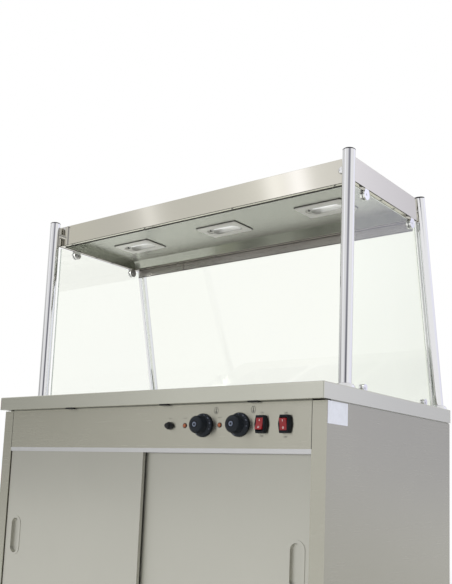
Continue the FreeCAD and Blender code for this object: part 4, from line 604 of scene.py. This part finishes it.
# ---- controls
@dataclass
class ThermostatKnob:
    """Round knob with a numbered skirt and a ribbed, domed grip, sized in millimetres."""

    body: str
    palette: Palette
    skirt: float = 31.4
    grip: float = 22.6
    reach: float = 38.0
    ribs: int = 40
    first_mark: float = -112.0
    mark_step: float = 32.0
    numbers: Sequence[str] = ("0", "30", "40", "50", "60", "70", "80", "90", "110")

    def build(self) -> None:
        """Builds the knob, the ring in its face and its printed numbers."""
        spot = centre(self.body)
        place = at(spot.x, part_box(self.body)[0].y + self.reach * MM, spot.z) @ FRONTWARD
        skirt, grip, reach = self.skirt, self.grip, self.reach
        knob = Piece(f"{self.body}_shape", "knob_plastic", self.body)
        knob.lathe([
            (0.0, 0.6), (skirt - 1.2, 0.6), (skirt, 1.4), (skirt, 4.6), (skirt - 0.8, 5.6), (grip + 2.4, 9.2),
            (grip + 0.6, 10.0), (grip, 11.2), (grip - 0.6, reach - 8.0), (grip - 1.6, reach - 4.6),
            (grip - 4.0, reach - 2.2), (grip - 8.0, reach - 0.9), (11.5, reach - 0.3), (10.6, reach - 0.5),
            (9.8, reach - 1.2), (8.7, reach - 1.5), (8.6, reach - 3.2), (0.0, reach - 3.2)], 96, place)
        for index in range(self.ribs):
            turn = place @ turned(360.0 * index / self.ribs, "Z")
            knob.block((1.7 * MM, 1.7 * MM, (reach - 16.0) * MM),
                       turn @ at((grip - 0.5) * MM, 0.0, (reach + 4.0) / 2 * MM), 0.7 * MM)
        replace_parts(knob.finish(self.palette["knob_plastic"], 40.0), self.body)
        eye = Piece(f"{self.body}_eye", "knob_plastic", self.body)
        eye.lathe([(0.0, reach - 0.6), (2.6, reach - 0.6), (3.0, reach - 0.1), (2.2, reach - 0.02),
                   (0.0, reach - 0.01)], 32, place)
        eye.finish(self.palette["knob_plastic"])
        self.print_dial(place)

    def print_dial(self, place: Matrix) -> None:
        """Prints the numbers and ticks on the sloping face of the skirt.

        Args:
            place: The knob's frame: its axis out of the fascia, from the fascia's face.
        """
        dial = Piece(f"{self.body}_numbers", "knob_plastic", self.body)
        inner, outer = self.grip + 2.4, self.skirt - 0.8
        middle = (inner + outer) / 2 * MM
        lean = Matrix.Rotation(-math.atan2(3.6, outer - inner), 4, "X")
        for index, number in enumerate(self.numbers):
            turn = place @ turned(self.first_mark + index * self.mark_step, "Z")
            dial.absorb(words(number, 3.6 * MM), turn @ at(0.0, middle, 7.55 * MM) @ lean)
            tick = turn @ turned(self.mark_step / 2, "Z") @ at(0.0, middle + 1.2 * MM, 7.05 * MM) @ lean
            dial.block((0.5 * MM, 2.6 * MM, 0.12 * MM), tick)
        dial.finish(self.palette["dial_print"])


@dataclass
class FasciaPrint:
    """Words, symbols and marks on the control fascia and its rockers, and painted shade in the joints beside it.
    """

    palette: Palette
    word_height: float = 4.6 * MM
    symbol_place: Pair = (43.0 * MM, 38.0 * MM)
    jamb_edge: float = 575.0 * MM
    rocker_half: float = 15.0
    rocker_rise: float = 2.2

    def build(self) -> None:
        """Builds the prints in order."""
        face_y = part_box("control_fascia")[0].y - 0.05 * MM
        upright = turned(90.0, "X")
        prints = Piece("fascia_print", "panel_steel")
        for node in ("rocker_lamps", "rocker_well"):
            spot = centre(node)
            for text, rise in (("ON", 28.5 * MM), ("OFF", -31.0 * MM)):
                prints.absorb(words(text, self.word_height), at(spot.x, face_y, spot.z + rise) @ upright)
        prints.finish(self.palette["print_grey"])
        self.symbols(face_y)
        self.rocker_marks()
        self.painted_joint_shade()

    def symbols(self, face_y: float) -> None:
        """Draws a thermometer in an oval to the right of each knob, and a small mark over each lamp.

        Args:
            face_y: Y of the fascia's face.
        """
        drawing = Piece("fascia_symbols", "panel_steel")
        across, rise = self.symbol_place
        for node in ("knob_cupboard", "knob_well"):
            spot = centre(node)
            middle = at(spot.x + across, face_y, spot.z + rise) @ FRONTWARD
            self.oval(drawing, middle, 7.2, 9.2, 1.0)
            bulb = middle @ at(0.0, -3.6 * MM, 0.0)
            drawing.lathe([(0.0, 0.0), (2.5, 0.0), (2.5, 0.1), (0.0, 0.1)], 20, bulb)
            for width, height, up in ((1.9, 8.6, 1.4), (4.4, 0.8, 3.6)):
                drawing.block((width * MM, height * MM, 0.1 * MM), middle @ at(0.0, up * MM, 0.0))
        low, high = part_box("neon_lamps")
        reset = centre("reset_button")
        for x in (low.x + 7.0 * MM, high.x - 7.0 * MM, reset.x):
            middle = at(x, face_y, reset.z + 20.0 * MM) @ FRONTWARD
            for step in (-4.2, 0.0, 4.2):
                drawing.block((3.0 * MM, 1.1 * MM, 0.1 * MM), middle @ at(step * MM, 0.0, 0.0))
        drawing.finish(self.palette["print_grey"])

    @staticmethod
    def oval(piece: Piece, place: Matrix, half_width: float, half_height: float, line: float) -> None:
        """Adds a thin printed oval ring, sized in millimetres, that looks along its place's +Z."""
        stretch = Matrix.Diagonal((1.0, half_height / half_width, 1.0, 1.0))
        inside = half_width - line
        piece.lathe([(inside, 0.0), (half_width, 0.0), (half_width, 0.1), (inside, 0.1), (inside, 0.0)],
                    40, place @ stretch)

    def rocker_marks(self) -> None:
        """Puts the line and ring marks on the faces of the two rockers."""
        joints = {joint["child"]: joint for joint in frame["joints"]}
        lean = math.atan2(self.rocker_rise, self.rocker_half)
        for node, tilt in (("rocker_lamps", -12.0), ("rocker_well", 12.0)):
            tip = Matrix.Translation(joints[node]["pos_m"]) @ turned(tilt, "X")
            marks = Piece(f"{node}_marks", "red_rocker", node)
            line = tip @ at(0.0, -5.15 * MM, 9.0 * MM) @ Matrix.Rotation(lean, 4, "X")
            marks.block((1.2 * MM, 0.2 * MM, 5.0 * MM), line)
            ring = tip @ at(0.0, -5.15 * MM, -9.0 * MM) @ Matrix.Rotation(-lean, 4, "X") @ FRONTWARD
            self.oval(marks, ring, 2.4, 2.6, 0.8)
            marks.finish(self.palette["print_white"])

    def painted_joint_shade(self) -> None:
        """Paints shadow into the joints beside the fascia as dark strips, and fills the gap above it between the
        packers with a dark grey strip of painted shade.
        """
        low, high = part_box("control_fascia")
        painted_joint_shade = Piece("fascia_painted_joint_shade", "panel_steel")
        # painted shadow: dark strips on the joints beside the fascia, where the gaps' shadow falls
        for x in (-self.jamb_edge, self.jamb_edge):
            painted_joint_shade.block((1.2 * MM, 0.3 * MM, high.z - low.z), at(x, low.y - 0.12 * MM, (low.z + high.z) / 2))
        painted_joint_shade.finish(self.palette["dark_seam"])
        # painted shade: the gap above the fascia is filled with a dark grey strip standing in for its soft shade
        foot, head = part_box("worktop_packers")
        strip = Piece("gap_shade_strip", "panel_steel")
        strip.block((2 * self.jamb_edge, 0.4 * MM, head.z - foot.z),
                    at(0.0, max(foot.y, low.y) + 1.2 * MM, (foot.z + head.z) / 2))
        strip.finish(self.palette["gap_steel"])


@dataclass
class NeonLamps:
    """Two indicator lamps: a dark collar round a domed amber lens."""

    palette: Palette
    reach: float = 4.0 * MM

    def build(self) -> None:
        """Builds the collars and the lenses at the CAD lamps' places."""
        low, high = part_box("neon_lamps")
        half, z = (high.z - low.z) / 2, (low.z + high.z) / 2
        edge = half / MM
        inner = edge - 1.9
        collars = Piece("neon_collars", "amber_lens")
        lenses = Piece("neon_lenses", "amber_lens")
        for x in (low.x + half, high.x - half):
            place = at(x, low.y + self.reach, z) @ FRONTWARD
            collars.lathe([(inner, 0.1), (edge, 0.1), (edge, 0.8), (edge - 0.7, 1.7), (edge - 1.6, 1.9),
                           (inner, 1.4), (inner, 0.1)], 48, place)
            lenses.lathe([(0.0, 0.1), (edge - 2.0, 0.1), (edge - 2.0, 1.6), (edge - 2.6, 2.8),
                          (edge - 3.9, 3.5), (0.0, 3.8)], 48, place)
        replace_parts(lenses.finish(self.palette["amber_lens"]), "neon_lamps")
        collars.finish(self.palette["neon_collar"])


# ---- gantry
@dataclass
class CanopyTrim:
    """Screws, and dark strips of painted shadow along the gaps under the canopy and on the rear rail."""

    palette: Palette
    head: float = 3.6
    lip: float = 20.0 * MM
    screws_along: Sequence[float] = (-0.53, -0.18, 0.18, 0.53)
    screws_across: Sequence[float] = (-0.02, 0.06)
    bezel_length: float = 160.0 * MM
    bezels: int = 3

    @staticmethod
    def rim(piece: Piece, low: Sequence[float], high: Sequence[float], width: float) -> None:
        """Adds a rectangular ring of square strip.

        Args:
            piece: Piece to add to.
            low: Lowest corner of the ring's outside.
            high: Highest corner of the ring's outside.
            width: Width of the strip.
        """
        (x0, y0, z0), (x1, y1, z1) = low, high
        middle, height = (z0 + z1) / 2, z1 - z0
        for y in (y0 + width / 2, y1 - width / 2):
            piece.block((x1 - x0, width, height), at((x0 + x1) / 2, y, middle))
        for x in (x0 + width / 2, x1 - width / 2):
            piece.block((width, y1 - y0 - 2 * width, height), at(x, (y0 + y1) / 2, middle))

    def build(self) -> None:
        """Sets the screws, then the painted shadow lines."""
        low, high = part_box("canopy_shell")
        screws = Piece("canopy_screws", "canopy_steel")
        left, right = low.x + self.lip / 2, high.x - self.lip / 2
        near, far = low.y + self.lip / 2, high.y - self.lip / 2
        places = [(x, y) for x in self.screws_along for y in (near, far)]
        places += [(x, y) for y in self.screws_across for x in (left, right)]
        head = self.head
        for x, y in places:
            screws.lathe([(0.0, 0.0), (head, 0.0), (head, 0.6), (head * 0.86, 1.2), (head * 0.5, 1.8),
                          (0.0, 2.0)], 16, at(x, y, low.z) @ facing((0, 0, -1)))
        screws.finish(self.palette["screw_steel"])
        self.painted_shadow_lines()

    def painted_shadow_lines(self) -> None:
        """Sets dark strips of painted shadow along the canopy's lip, round the bezels and on the rail's edges."""
        low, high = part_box("canopy_shell")
        painted_shadow_lines = Piece("canopy_painted_shadow_lines", "canopy_steel")
        # painted shadow along the fold of the lip and along the gap at the lip's inner edge
        for inset, width, drop in ((1.2 * MM, 1.0 * MM, 0.8 * MM), (self.lip - 2.4 * MM, 2.2 * MM, 2.0 * MM)):
            self.rim(painted_shadow_lines, (low.x + inset, low.y + inset, low.z - drop),
                     (high.x - inset, high.y - inset, low.z), width)
        # painted shade round the bezels' edges
        first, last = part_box("lamp_bezels")
        for index in range(self.bezels):
            start = first.x + (last.x - first.x - self.bezel_length) * index / (self.bezels - 1)
            self.rim(painted_shadow_lines, (start - 0.9 * MM, first.y - 0.9 * MM, last.z - 1.7 * MM),
                     (start + self.bezel_length + 0.9 * MM, last.y + 0.9 * MM, last.z), 0.8 * MM)
        # painted shadow along the gaps at the rear rail's top and bottom edges
        front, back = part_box("rear_rail")
        middle = (front.x + back.x) / 2
        for z, height in ((back.z - 1.6 * MM, 3.0 * MM), (front.z + 0.8 * MM, 1.2 * MM)):
            painted_shadow_lines.block((back.x - front.x, 0.4 * MM, height), at(middle, front.y - 0.15 * MM, z))
        painted_shadow_lines.finish(self.palette["seal_rubber"])


@dataclass
class HeatLamps:
    """Quartz lamps with ceramic ends, a socket and a coiled filament each, sized in millimetres."""

    palette: Palette
    count: int = 3
    tube: float = 5.0
    half_length: float = 42.0
    cap: float = 6.0
    cap_length: float = 14.0
    socket: float = 8.0
    pitch: float = 2.4

    def build(self) -> None:
        """Builds tubes, ends, sockets and filaments at the CAD lamps' places."""
        low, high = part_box("lamp_tubes")
        spot = centre("lamp_tubes")
        half, tube, cap, socket = self.half_length, self.tube, self.cap, self.socket
        outer = half + self.cap_length
        first, last = low.x + outer * MM, high.x - outer * MM
        tubes = Piece("lamp_quartz_tubes", "lamp_quartz")
        ends = Piece("lamp_ceramic_ends", "lamp_quartz")
        coils = Piece("lamp_filaments", "element_sheath")
        sockets = Piece("lamp_sockets", "lamp_quartz")
        for index in range(self.count):
            place = at(first + (last - first) * index / (self.count - 1), spot.y, spot.z) @ facing((1, 0, 0))
            tubes.lathe([(0.0, -half), (tube * 0.7, -half), (tube, 1.5 - half), (tube, half - 1.5),
                         (tube * 0.7, half), (0.0, half)], 32, place)
            for side in (-1.0, 1.0):
                start, stop = side * half, side * outer
                ends.lathe([(0.0, start), (cap - 1.0, start), (cap, start + side), (cap, stop - side),
                            (cap - 1.0, stop), (0.0, stop)], 24, place)
            sockets.lathe([(0.0, 2.0 - outer), (socket - 0.5, 2.0 - outer), (socket, 1.0 - outer),
                           (socket, -outer - 3.0), (0.0, -outer - 3.0)], 24, place)
            for turn in range(int(half * 2 / self.pitch) - 2):
                height = (turn + 1.5) * self.pitch - half
                coils.lathe([(1.7, height - 0.4), (2.2, height), (1.7, height + 0.4), (1.2, height),
                             (1.7, height - 0.4)], 10, place)
        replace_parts(tubes.finish(self.palette["lamp_quartz"]), "lamp_tubes")
        ends.finish(self.palette["lamp_ceramic"])
        coils.finish(self.palette["lamp_coil"])
        sockets.finish(self.palette["black_plastic"])


@dataclass
class GroundEdges:
    """Pale ground edges of the end glasses and the rear glass."""

    palette: Palette
    lift: float = 0.08 * MM

    def build(self) -> None:
        """Lays a pale skin on every face of the panes that looks away from their large faces' axis."""
        for node in ("end_glasses", "rear_glass"):
            mesh, place = frame["nodes"][node].data, frame["nodes"][node].matrix_world
            turn = place.to_3x3()
            flat = (turn @ max(mesh.polygons, key=lambda face: face.area).normal).normalized()
            skin = Piece(f"{node}_ground_edges", "clear_glass")
            for face in mesh.polygons:
                normal = (turn @ face.normal).normalized()
                if abs(normal.dot(flat)) < 0.5:
                    corners = (place @ mesh.vertices[index].co for index in face.vertices)
                    skin.bm.faces.new([skin.bm.verts.new(spot + normal * self.lift) for spot in corners])
            skin.finish(self.palette["ground_glass"], closed=False)


@dataclass
class SideLabel:
    """Plain white film label on the right side panel, where the photo shows one."""

    palette: Palette
    from_front: Pair = (3.0 * MM, 98.0 * MM)
    height: float = 55.0 * MM
    film: float = 0.2 * MM

    def build(self) -> None:
        """Builds the blank label."""
        low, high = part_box("side_panel_right")
        near, far = self.from_front
        label = Piece("side_label", "panel_steel")
        label.block((self.film, far - near, self.height),
                    at(high.x + self.film / 2, low.y + (near + far) / 2, high.z - self.height / 2))
        label.finish(self.palette["label_film"])


# ---- castors
@dataclass
class CastorWheel:
    """Wheel with a ribbed plastic centre and a crowned rubber tyre, sized in millimetres."""

    corner: str
    palette: Palette
    radius: float = 62.5
    half_width: float = 16.0
    tyre: float = 14.0
    spokes: int = 8

    def build(self) -> None:
        """Builds the tyre and the wheel's centre."""
        node = f"castor_wheel_{self.corner}"
        body = f"wheel_{self.corner}"
        place = Matrix.Translation(centre(node)) @ facing((0, 1, 0))
        radius, half, rim = self.radius, self.half_width, self.radius - self.tyre
        tyre = Piece(f"tyre_{self.corner}", "grey_tyre", body)
        tyre.lathe([
            (rim, 2 - half), (radius - 5, 2 - half), (radius - 2.6, 4 - half), (radius - 0.9, 8 - half),
            (radius - 0.2, 12 - half), (radius, 0.0), (radius - 0.2, half - 12), (radius - 0.9, half - 8),
            (radius - 2.6, half - 4), (radius - 5, half - 2), (rim, half - 2), (rim, 2 - half)], 96, place)
        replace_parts(tyre.finish(self.palette["grey_tyre"]), node)
        hub = Piece(f"wheel_centre_{self.corner}", "grey_tyre", body)
        hub.lathe([
            (6.1, -half), (17, -half), (17.6, 0.6 - half), (18, -4), (rim - 7, -4), (rim - 6, 3 - half),
            (rim, 2 - half), (rim, half - 2), (rim - 6, half - 3), (rim - 7, 4), (18, 4), (17.6, half - 0.6),
            (17, half), (6.1, half), (6.1, -half)], 72, place)
        for index in range(self.spokes):
            spoke = place @ turned(360.0 * index / self.spokes, "Z") @ at((rim + 11) / 2 * MM, 0.0, 0.0)
            hub.block(((rim - 24) * MM, 3.0 * MM, (2 * half - 8) * MM), spoke, 0.8 * MM)
        hub.finish(self.palette["wheel_centre"])


# ---- studio
@dataclass
class PhotoCamera:
    """Camera at the photograph's viewpoint, from a fit of its straight edges."""

    place: Point = (1.6064, -1.9900, 0.6530)
    yaw: float = 0.66914
    pitch: float = 0.14444
    roll: float = 0.03958
    focal_px: float = 804.69
    centre_v: float = 365.0
    frame_px: tuple[int, int] = (452, 584)
    sensor_mm: float = 36.0

    def build(self) -> None:
        """Makes the camera and hands it to the scene."""
        level_right = Vector((math.cos(self.yaw), math.sin(self.yaw), 0.0))
        ahead = Vector((-level_right.y, level_right.x, 0.0))
        look = math.cos(self.pitch) * ahead + math.sin(self.pitch) * Vector((0.0, 0.0, 1.0))
        level_up = level_right.cross(look)
        right = math.cos(self.roll) * level_right + math.sin(self.roll) * level_up
        up = math.cos(self.roll) * level_up - math.sin(self.roll) * level_right
        lens = bpy.data.cameras.new("photo_camera")
        lens.sensor_fit = "VERTICAL"
        lens.sensor_height = self.sensor_mm
        lens.lens = self.focal_px * self.sensor_mm / self.frame_px[1]
        lens.shift_y = (self.centre_v - self.frame_px[1] / 2) / self.frame_px[1]
        lens.clip_end = 100.0
        camera = bpy.data.objects.new("photo_camera", lens)
        axes = Matrix((right, up, -look)).transposed().to_4x4()
        camera.matrix_world = Matrix.Translation(self.place) @ axes
        bpy.context.scene.collection.objects.link(camera)
        bpy.context.scene.camera = camera


@dataclass(frozen=True)
class Softbox:
    """One soft lamp: where it stands, what it points at, its size and its power."""

    name: str
    place: Point
    target: Point
    size: Pair
    watts: float


@dataclass
class Studio:
    """White studio: floor, surroundings and soft lamps.

    Metal mirrors cards in the surroundings: each has a place, a brightness and maybe a share of blue. Those
    behind the camera lie by the X of their direction and the rest by azimuth in degrees, and each kind has a
    row at the horizon and a row above it.
    """

    softboxes: Sequence[Softbox] = (
        Softbox("overhead", (0.4, -0.6, 4.2), (0.0, 0.0, 0.9), (4.0, 3.0), 60.0),
        Softbox("front_left", (-3.4, -3.6, 2.6), (0.0, 0.0, 1.0), (1.6, 2.2), 45.0),
        Softbox("front_right", (3.6, -2.4, 2.4), (0.2, 0.0, 0.9), (1.4, 2.0), 30.0),
    )
    ambient: float = 0.80
    floor_fade: Pair = (1.2, 5.0)
    rise: Pair = (0.14, 0.26)
    overhead: Pair = (0.45, 0.85)
    behind_camera: Pair = (-0.36, -0.28)
    front_low: Sequence[Level] = (
        (-1.0, 0.35), (-0.8, 0.38, 0.97), (-0.762, 0.5, 0.98), (-0.733, 0.59), (-0.7, 0.68), (-0.66, 0.8),
        (-0.64, 0.86), (-0.6, 0.83), (-0.54, 0.86, 1.02), (-0.4, 0.92), (-0.1, 0.95), (0.2, 0.85),
        (0.38, 0.45, 1.1), (0.47, 0.16, 1.1), (0.72, 0.16, 1.1), (0.8, 0.6, 1.05), (0.88, 1.0))
    front_high: Sequence[Level] = (
        (-1.0, 0.75), (-0.733, 0.8, 0.97), (-0.7, 0.77), (-0.684, 0.8), (-0.672, 0.95, 1.02),
        (-0.664, 1.32, 1.03), (-0.656, 0.98, 1.02), (-0.645, 0.83), (-0.6, 0.86), (-0.565, 0.97),
        (-0.551, 1.08), (-0.545, 1.45, 1.05), (-0.536, 1.65, 1.02), (-0.529, 1.2, 1.02),
        (-0.521, 1.55, 1.08), (-0.512, 1.95, 1.1), (-0.504, 1.22, 1.03), (-0.495, 1.06, 1.03),
        (-0.47, 1.0, 1.03), (-0.3, 0.9), (0.2, 0.85), (0.38, 0.55, 1.1), (0.47, 0.3, 1.1), (0.72, 0.3, 1.1),
        (0.8, 0.65, 1.05), (0.88, 1.0))
    round_low: Sequence[Level] = (
        (-180.0, 0.65), (-17.0, 1.0), (14.0, 1.0, 1.05), (40.0, 0.95, 1.12), (60.0, 0.98, 1.17),
        (61.7, 0.88, 1.17), (63.2, 0.86, 1.17), (64.5, 0.77, 1.17), (67.0, 0.72, 1.17), (70.0, 0.78, 1.1),
        (80.0, 0.9), (110.0, 0.85), (140.0, 0.95), (165.0, 0.65), (180.0, 0.65))
    round_high: Sequence[Level] = (
        (-180.0, 0.75), (-17.0, 1.0), (20.0, 0.95), (45.0, 1.05, 1.1), (59.0, 1.2, 1.18),
        (60.8, 1.12, 1.18), (62.0, 1.02, 1.18), (63.5, 0.96, 1.18), (65.0, 0.88, 1.18), (68.0, 0.85, 1.1),
        (90.0, 0.9), (110.0, 0.85), (140.0, 1.0), (165.0, 0.8), (180.0, 0.75))

    def build(self) -> None:
        """Builds the floor, the surroundings and the lamps."""
        self.floor()
        self.surroundings()
        for box in self.softboxes:
            self.lamp(box)
        bpy.context.scene.view_settings.view_transform = "Standard"

    @staticmethod
    def seen_directly(build: NodeBuilder) -> Socket:
        """Returns a value that is 1 for camera, glossy and transmission rays."""
        path = build.add("ShaderNodeLightPath")
        straight = build.math("MAXIMUM", path.outputs["Is Camera Ray"], path.outputs["Is Glossy Ray"])
        return build.math("MAXIMUM", straight, path.outputs["Is Transmission Ray"])

    def floor(self) -> None:
        """Makes a pale floor that fades to the white background far from the trolley."""
        bm = bmesh.new()
        bmesh.ops.create_grid(bm, x_segments=1, y_segments=1, size=30.0)
        mesh = bpy.data.meshes.new("studio_floor")
        bm.to_mesh(mesh)
        bm.free()
        floor = bpy.data.objects.new("studio_floor", mesh)
        bpy.context.scene.collection.objects.link(floor)
        material = bpy.data.materials.new("studio_floor")
        material.use_nodes = True
        build = NodeBuilder(material.node_tree)
        shader = build.assign(material.node_tree.nodes["Principled BSDF"], Base_Color=(0.86, 0.86, 0.86, 1.0),
                              Roughness=0.9, Specular_IOR_Level=0.1)
        where = build.add("ShaderNodeTexCoord")
        distance = build.add("ShaderNodeVectorMath", operation="LENGTH")
        build.link(where.outputs["Object"], distance.inputs[0])
        fade = build.remap(distance.outputs["Value"], *self.floor_fade)
        share = build.math("MULTIPLY", fade, self.seen_directly(build))
        blend = build.blend(share, shader, build.add("ShaderNodeEmission"))
        build.link(blend.outputs[0], material.node_tree.nodes["Material Output"].inputs["Surface"])
        mesh.materials.append(material)

    def surroundings(self) -> None:
        """Lights the room softly, white where it is seen and with soft darker cards in reflections."""
        world = bpy.data.worlds.new("studio")
        bpy.context.scene.world = world
        world.use_nodes = True
        build = NodeBuilder(world.node_tree)
        light = build.assign(world.node_tree.nodes["Background"], Color=WHITE, Strength=self.ambient)
        seen = build.assign(build.add("ShaderNodeBackground"), Color=WHITE, Strength=1.0)
        mirrored = build.add("ShaderNodeBackground")
        build.link(self.cards(build), mirrored.inputs["Color"])
        path = build.add("ShaderNodeLightPath").outputs
        mirror = build.math("MULTIPLY", build.math("GREATER_THAN", path["Glossy Depth"], 0.5),
                            build.math("SUBTRACT", 1.0, path["Is Diffuse Ray"]))
        straight = build.math("MAXIMUM", path["Is Camera Ray"], path["Is Transmission Ray"])
        direct = build.math("MULTIPLY", straight, build.math("SUBTRACT", 1.0, mirror))
        sky = build.blend(direct, build.blend(mirror, light, mirrored), seen)
        build.link(sky.outputs[0], world.node_tree.nodes["World Output"].inputs["Surface"])

    def cards(self, build: NodeBuilder) -> Socket:
        """Draws the light and dark cards that metal mirrors, pale overhead, and returns their colour."""
        where = build.add("ShaderNodeTexCoord")
        axes = build.add("ShaderNodeSeparateXYZ")
        build.link(where.outputs["Generated"], axes.inputs[0])
        across, along, height = axes.outputs
        azimuth = build.math("ARCTAN2", along, across)
        by_azimuth = build.remap(azimuth, -math.pi, math.pi)
        by_side = build.remap(across, -1.0, 1.0)
        risen = build.remap(height, *self.rise)
        front = build.mix(risen, self.ramp(build, by_side, self.front_low, 1.0),
                          self.ramp(build, by_side, self.front_high, 1.0))
        rest = build.mix(risen, self.ramp(build, by_azimuth, self.round_low, 180.0),
                         self.ramp(build, by_azimuth, self.round_high, 180.0))
        around = build.mix(build.remap(along, *self.behind_camera, 1.0, 0.0), rest, front)
        return build.mix(build.remap(height, *self.overhead), around, (0.9, 0.9, 0.9, 1.0))

    @staticmethod
    def ramp(build: NodeBuilder, position: Socket, levels: Sequence[Level],
             reach: float) -> Socket:
        """Makes a ramp of brightness and tint across the surroundings.

        Args:
            build: Builder of the world's tree.
            position: Place along the ramp, 0 to 1.
            levels: Place from -reach to reach, brightness and, where it isn't 1, share of blue, in order.
            reach: Half the ramp's span in the levels' own unit.

        Returns:
            The ramp's colour.
        """
        ramp = build.add("ShaderNodeValToRGB")
        stops = ramp.color_ramp.elements
        for index, (place, level, *blue) in enumerate(levels):
            where = place / (2.0 * reach) + 0.5
            stop = stops[index] if index < 2 else stops.new(where)
            stop.position = where
            stop.color = (level, level, level * (blue or [1.0])[0], 1.0)
        build.link(position, ramp.inputs[0])
        return ramp.outputs[0]

    @staticmethod
    def lamp(box: Softbox) -> None:
        """Hangs one softbox, unseen by the camera and in reflections."""
        data = bpy.data.lights.new(box.name, "AREA")
        data.shape = "RECTANGLE"
        data.size, data.size_y = box.size
        data.energy = box.watts
        lamp = bpy.data.objects.new(box.name, data)
        aim = (Vector(box.target) - Vector(box.place)).to_track_quat("-Z", "Y")
        lamp.matrix_world = Matrix.Translation(box.place) @ aim.to_matrix().to_4x4()
        lamp.visible_camera = lamp.visible_glossy = False
        bpy.context.scene.collection.objects.link(lamp)


def pieces_in_order(palette: Palette) -> Iterable[object]:
    """Yields every sub-assembly that adds or replaces pieces."""
    yield ThermostatKnob("knob_cupboard", palette)
    yield ThermostatKnob("knob_well", palette, first_mark=-98.0)
    yield FasciaPrint(palette)
    yield NeonLamps(palette)
    yield CanopyTrim(palette)
    yield HeatLamps(palette)
    yield GroundEdges(palette)
    yield SideLabel(palette)
    for corner in ("front_left", "front_right", "back_left", "back_right"):
        yield CastorWheel(corner, palette)


def main() -> None:
    """Builds the scene."""
    logging.basicConfig(level=logging.INFO, format="%(message)s")
    PhotoCamera().build()
    Studio().build()
    palette = Palette()
    palette.dress_frame()
    for part in pieces_in_order(palette):
        part.build()


if __name__ == "__main__":
    main()
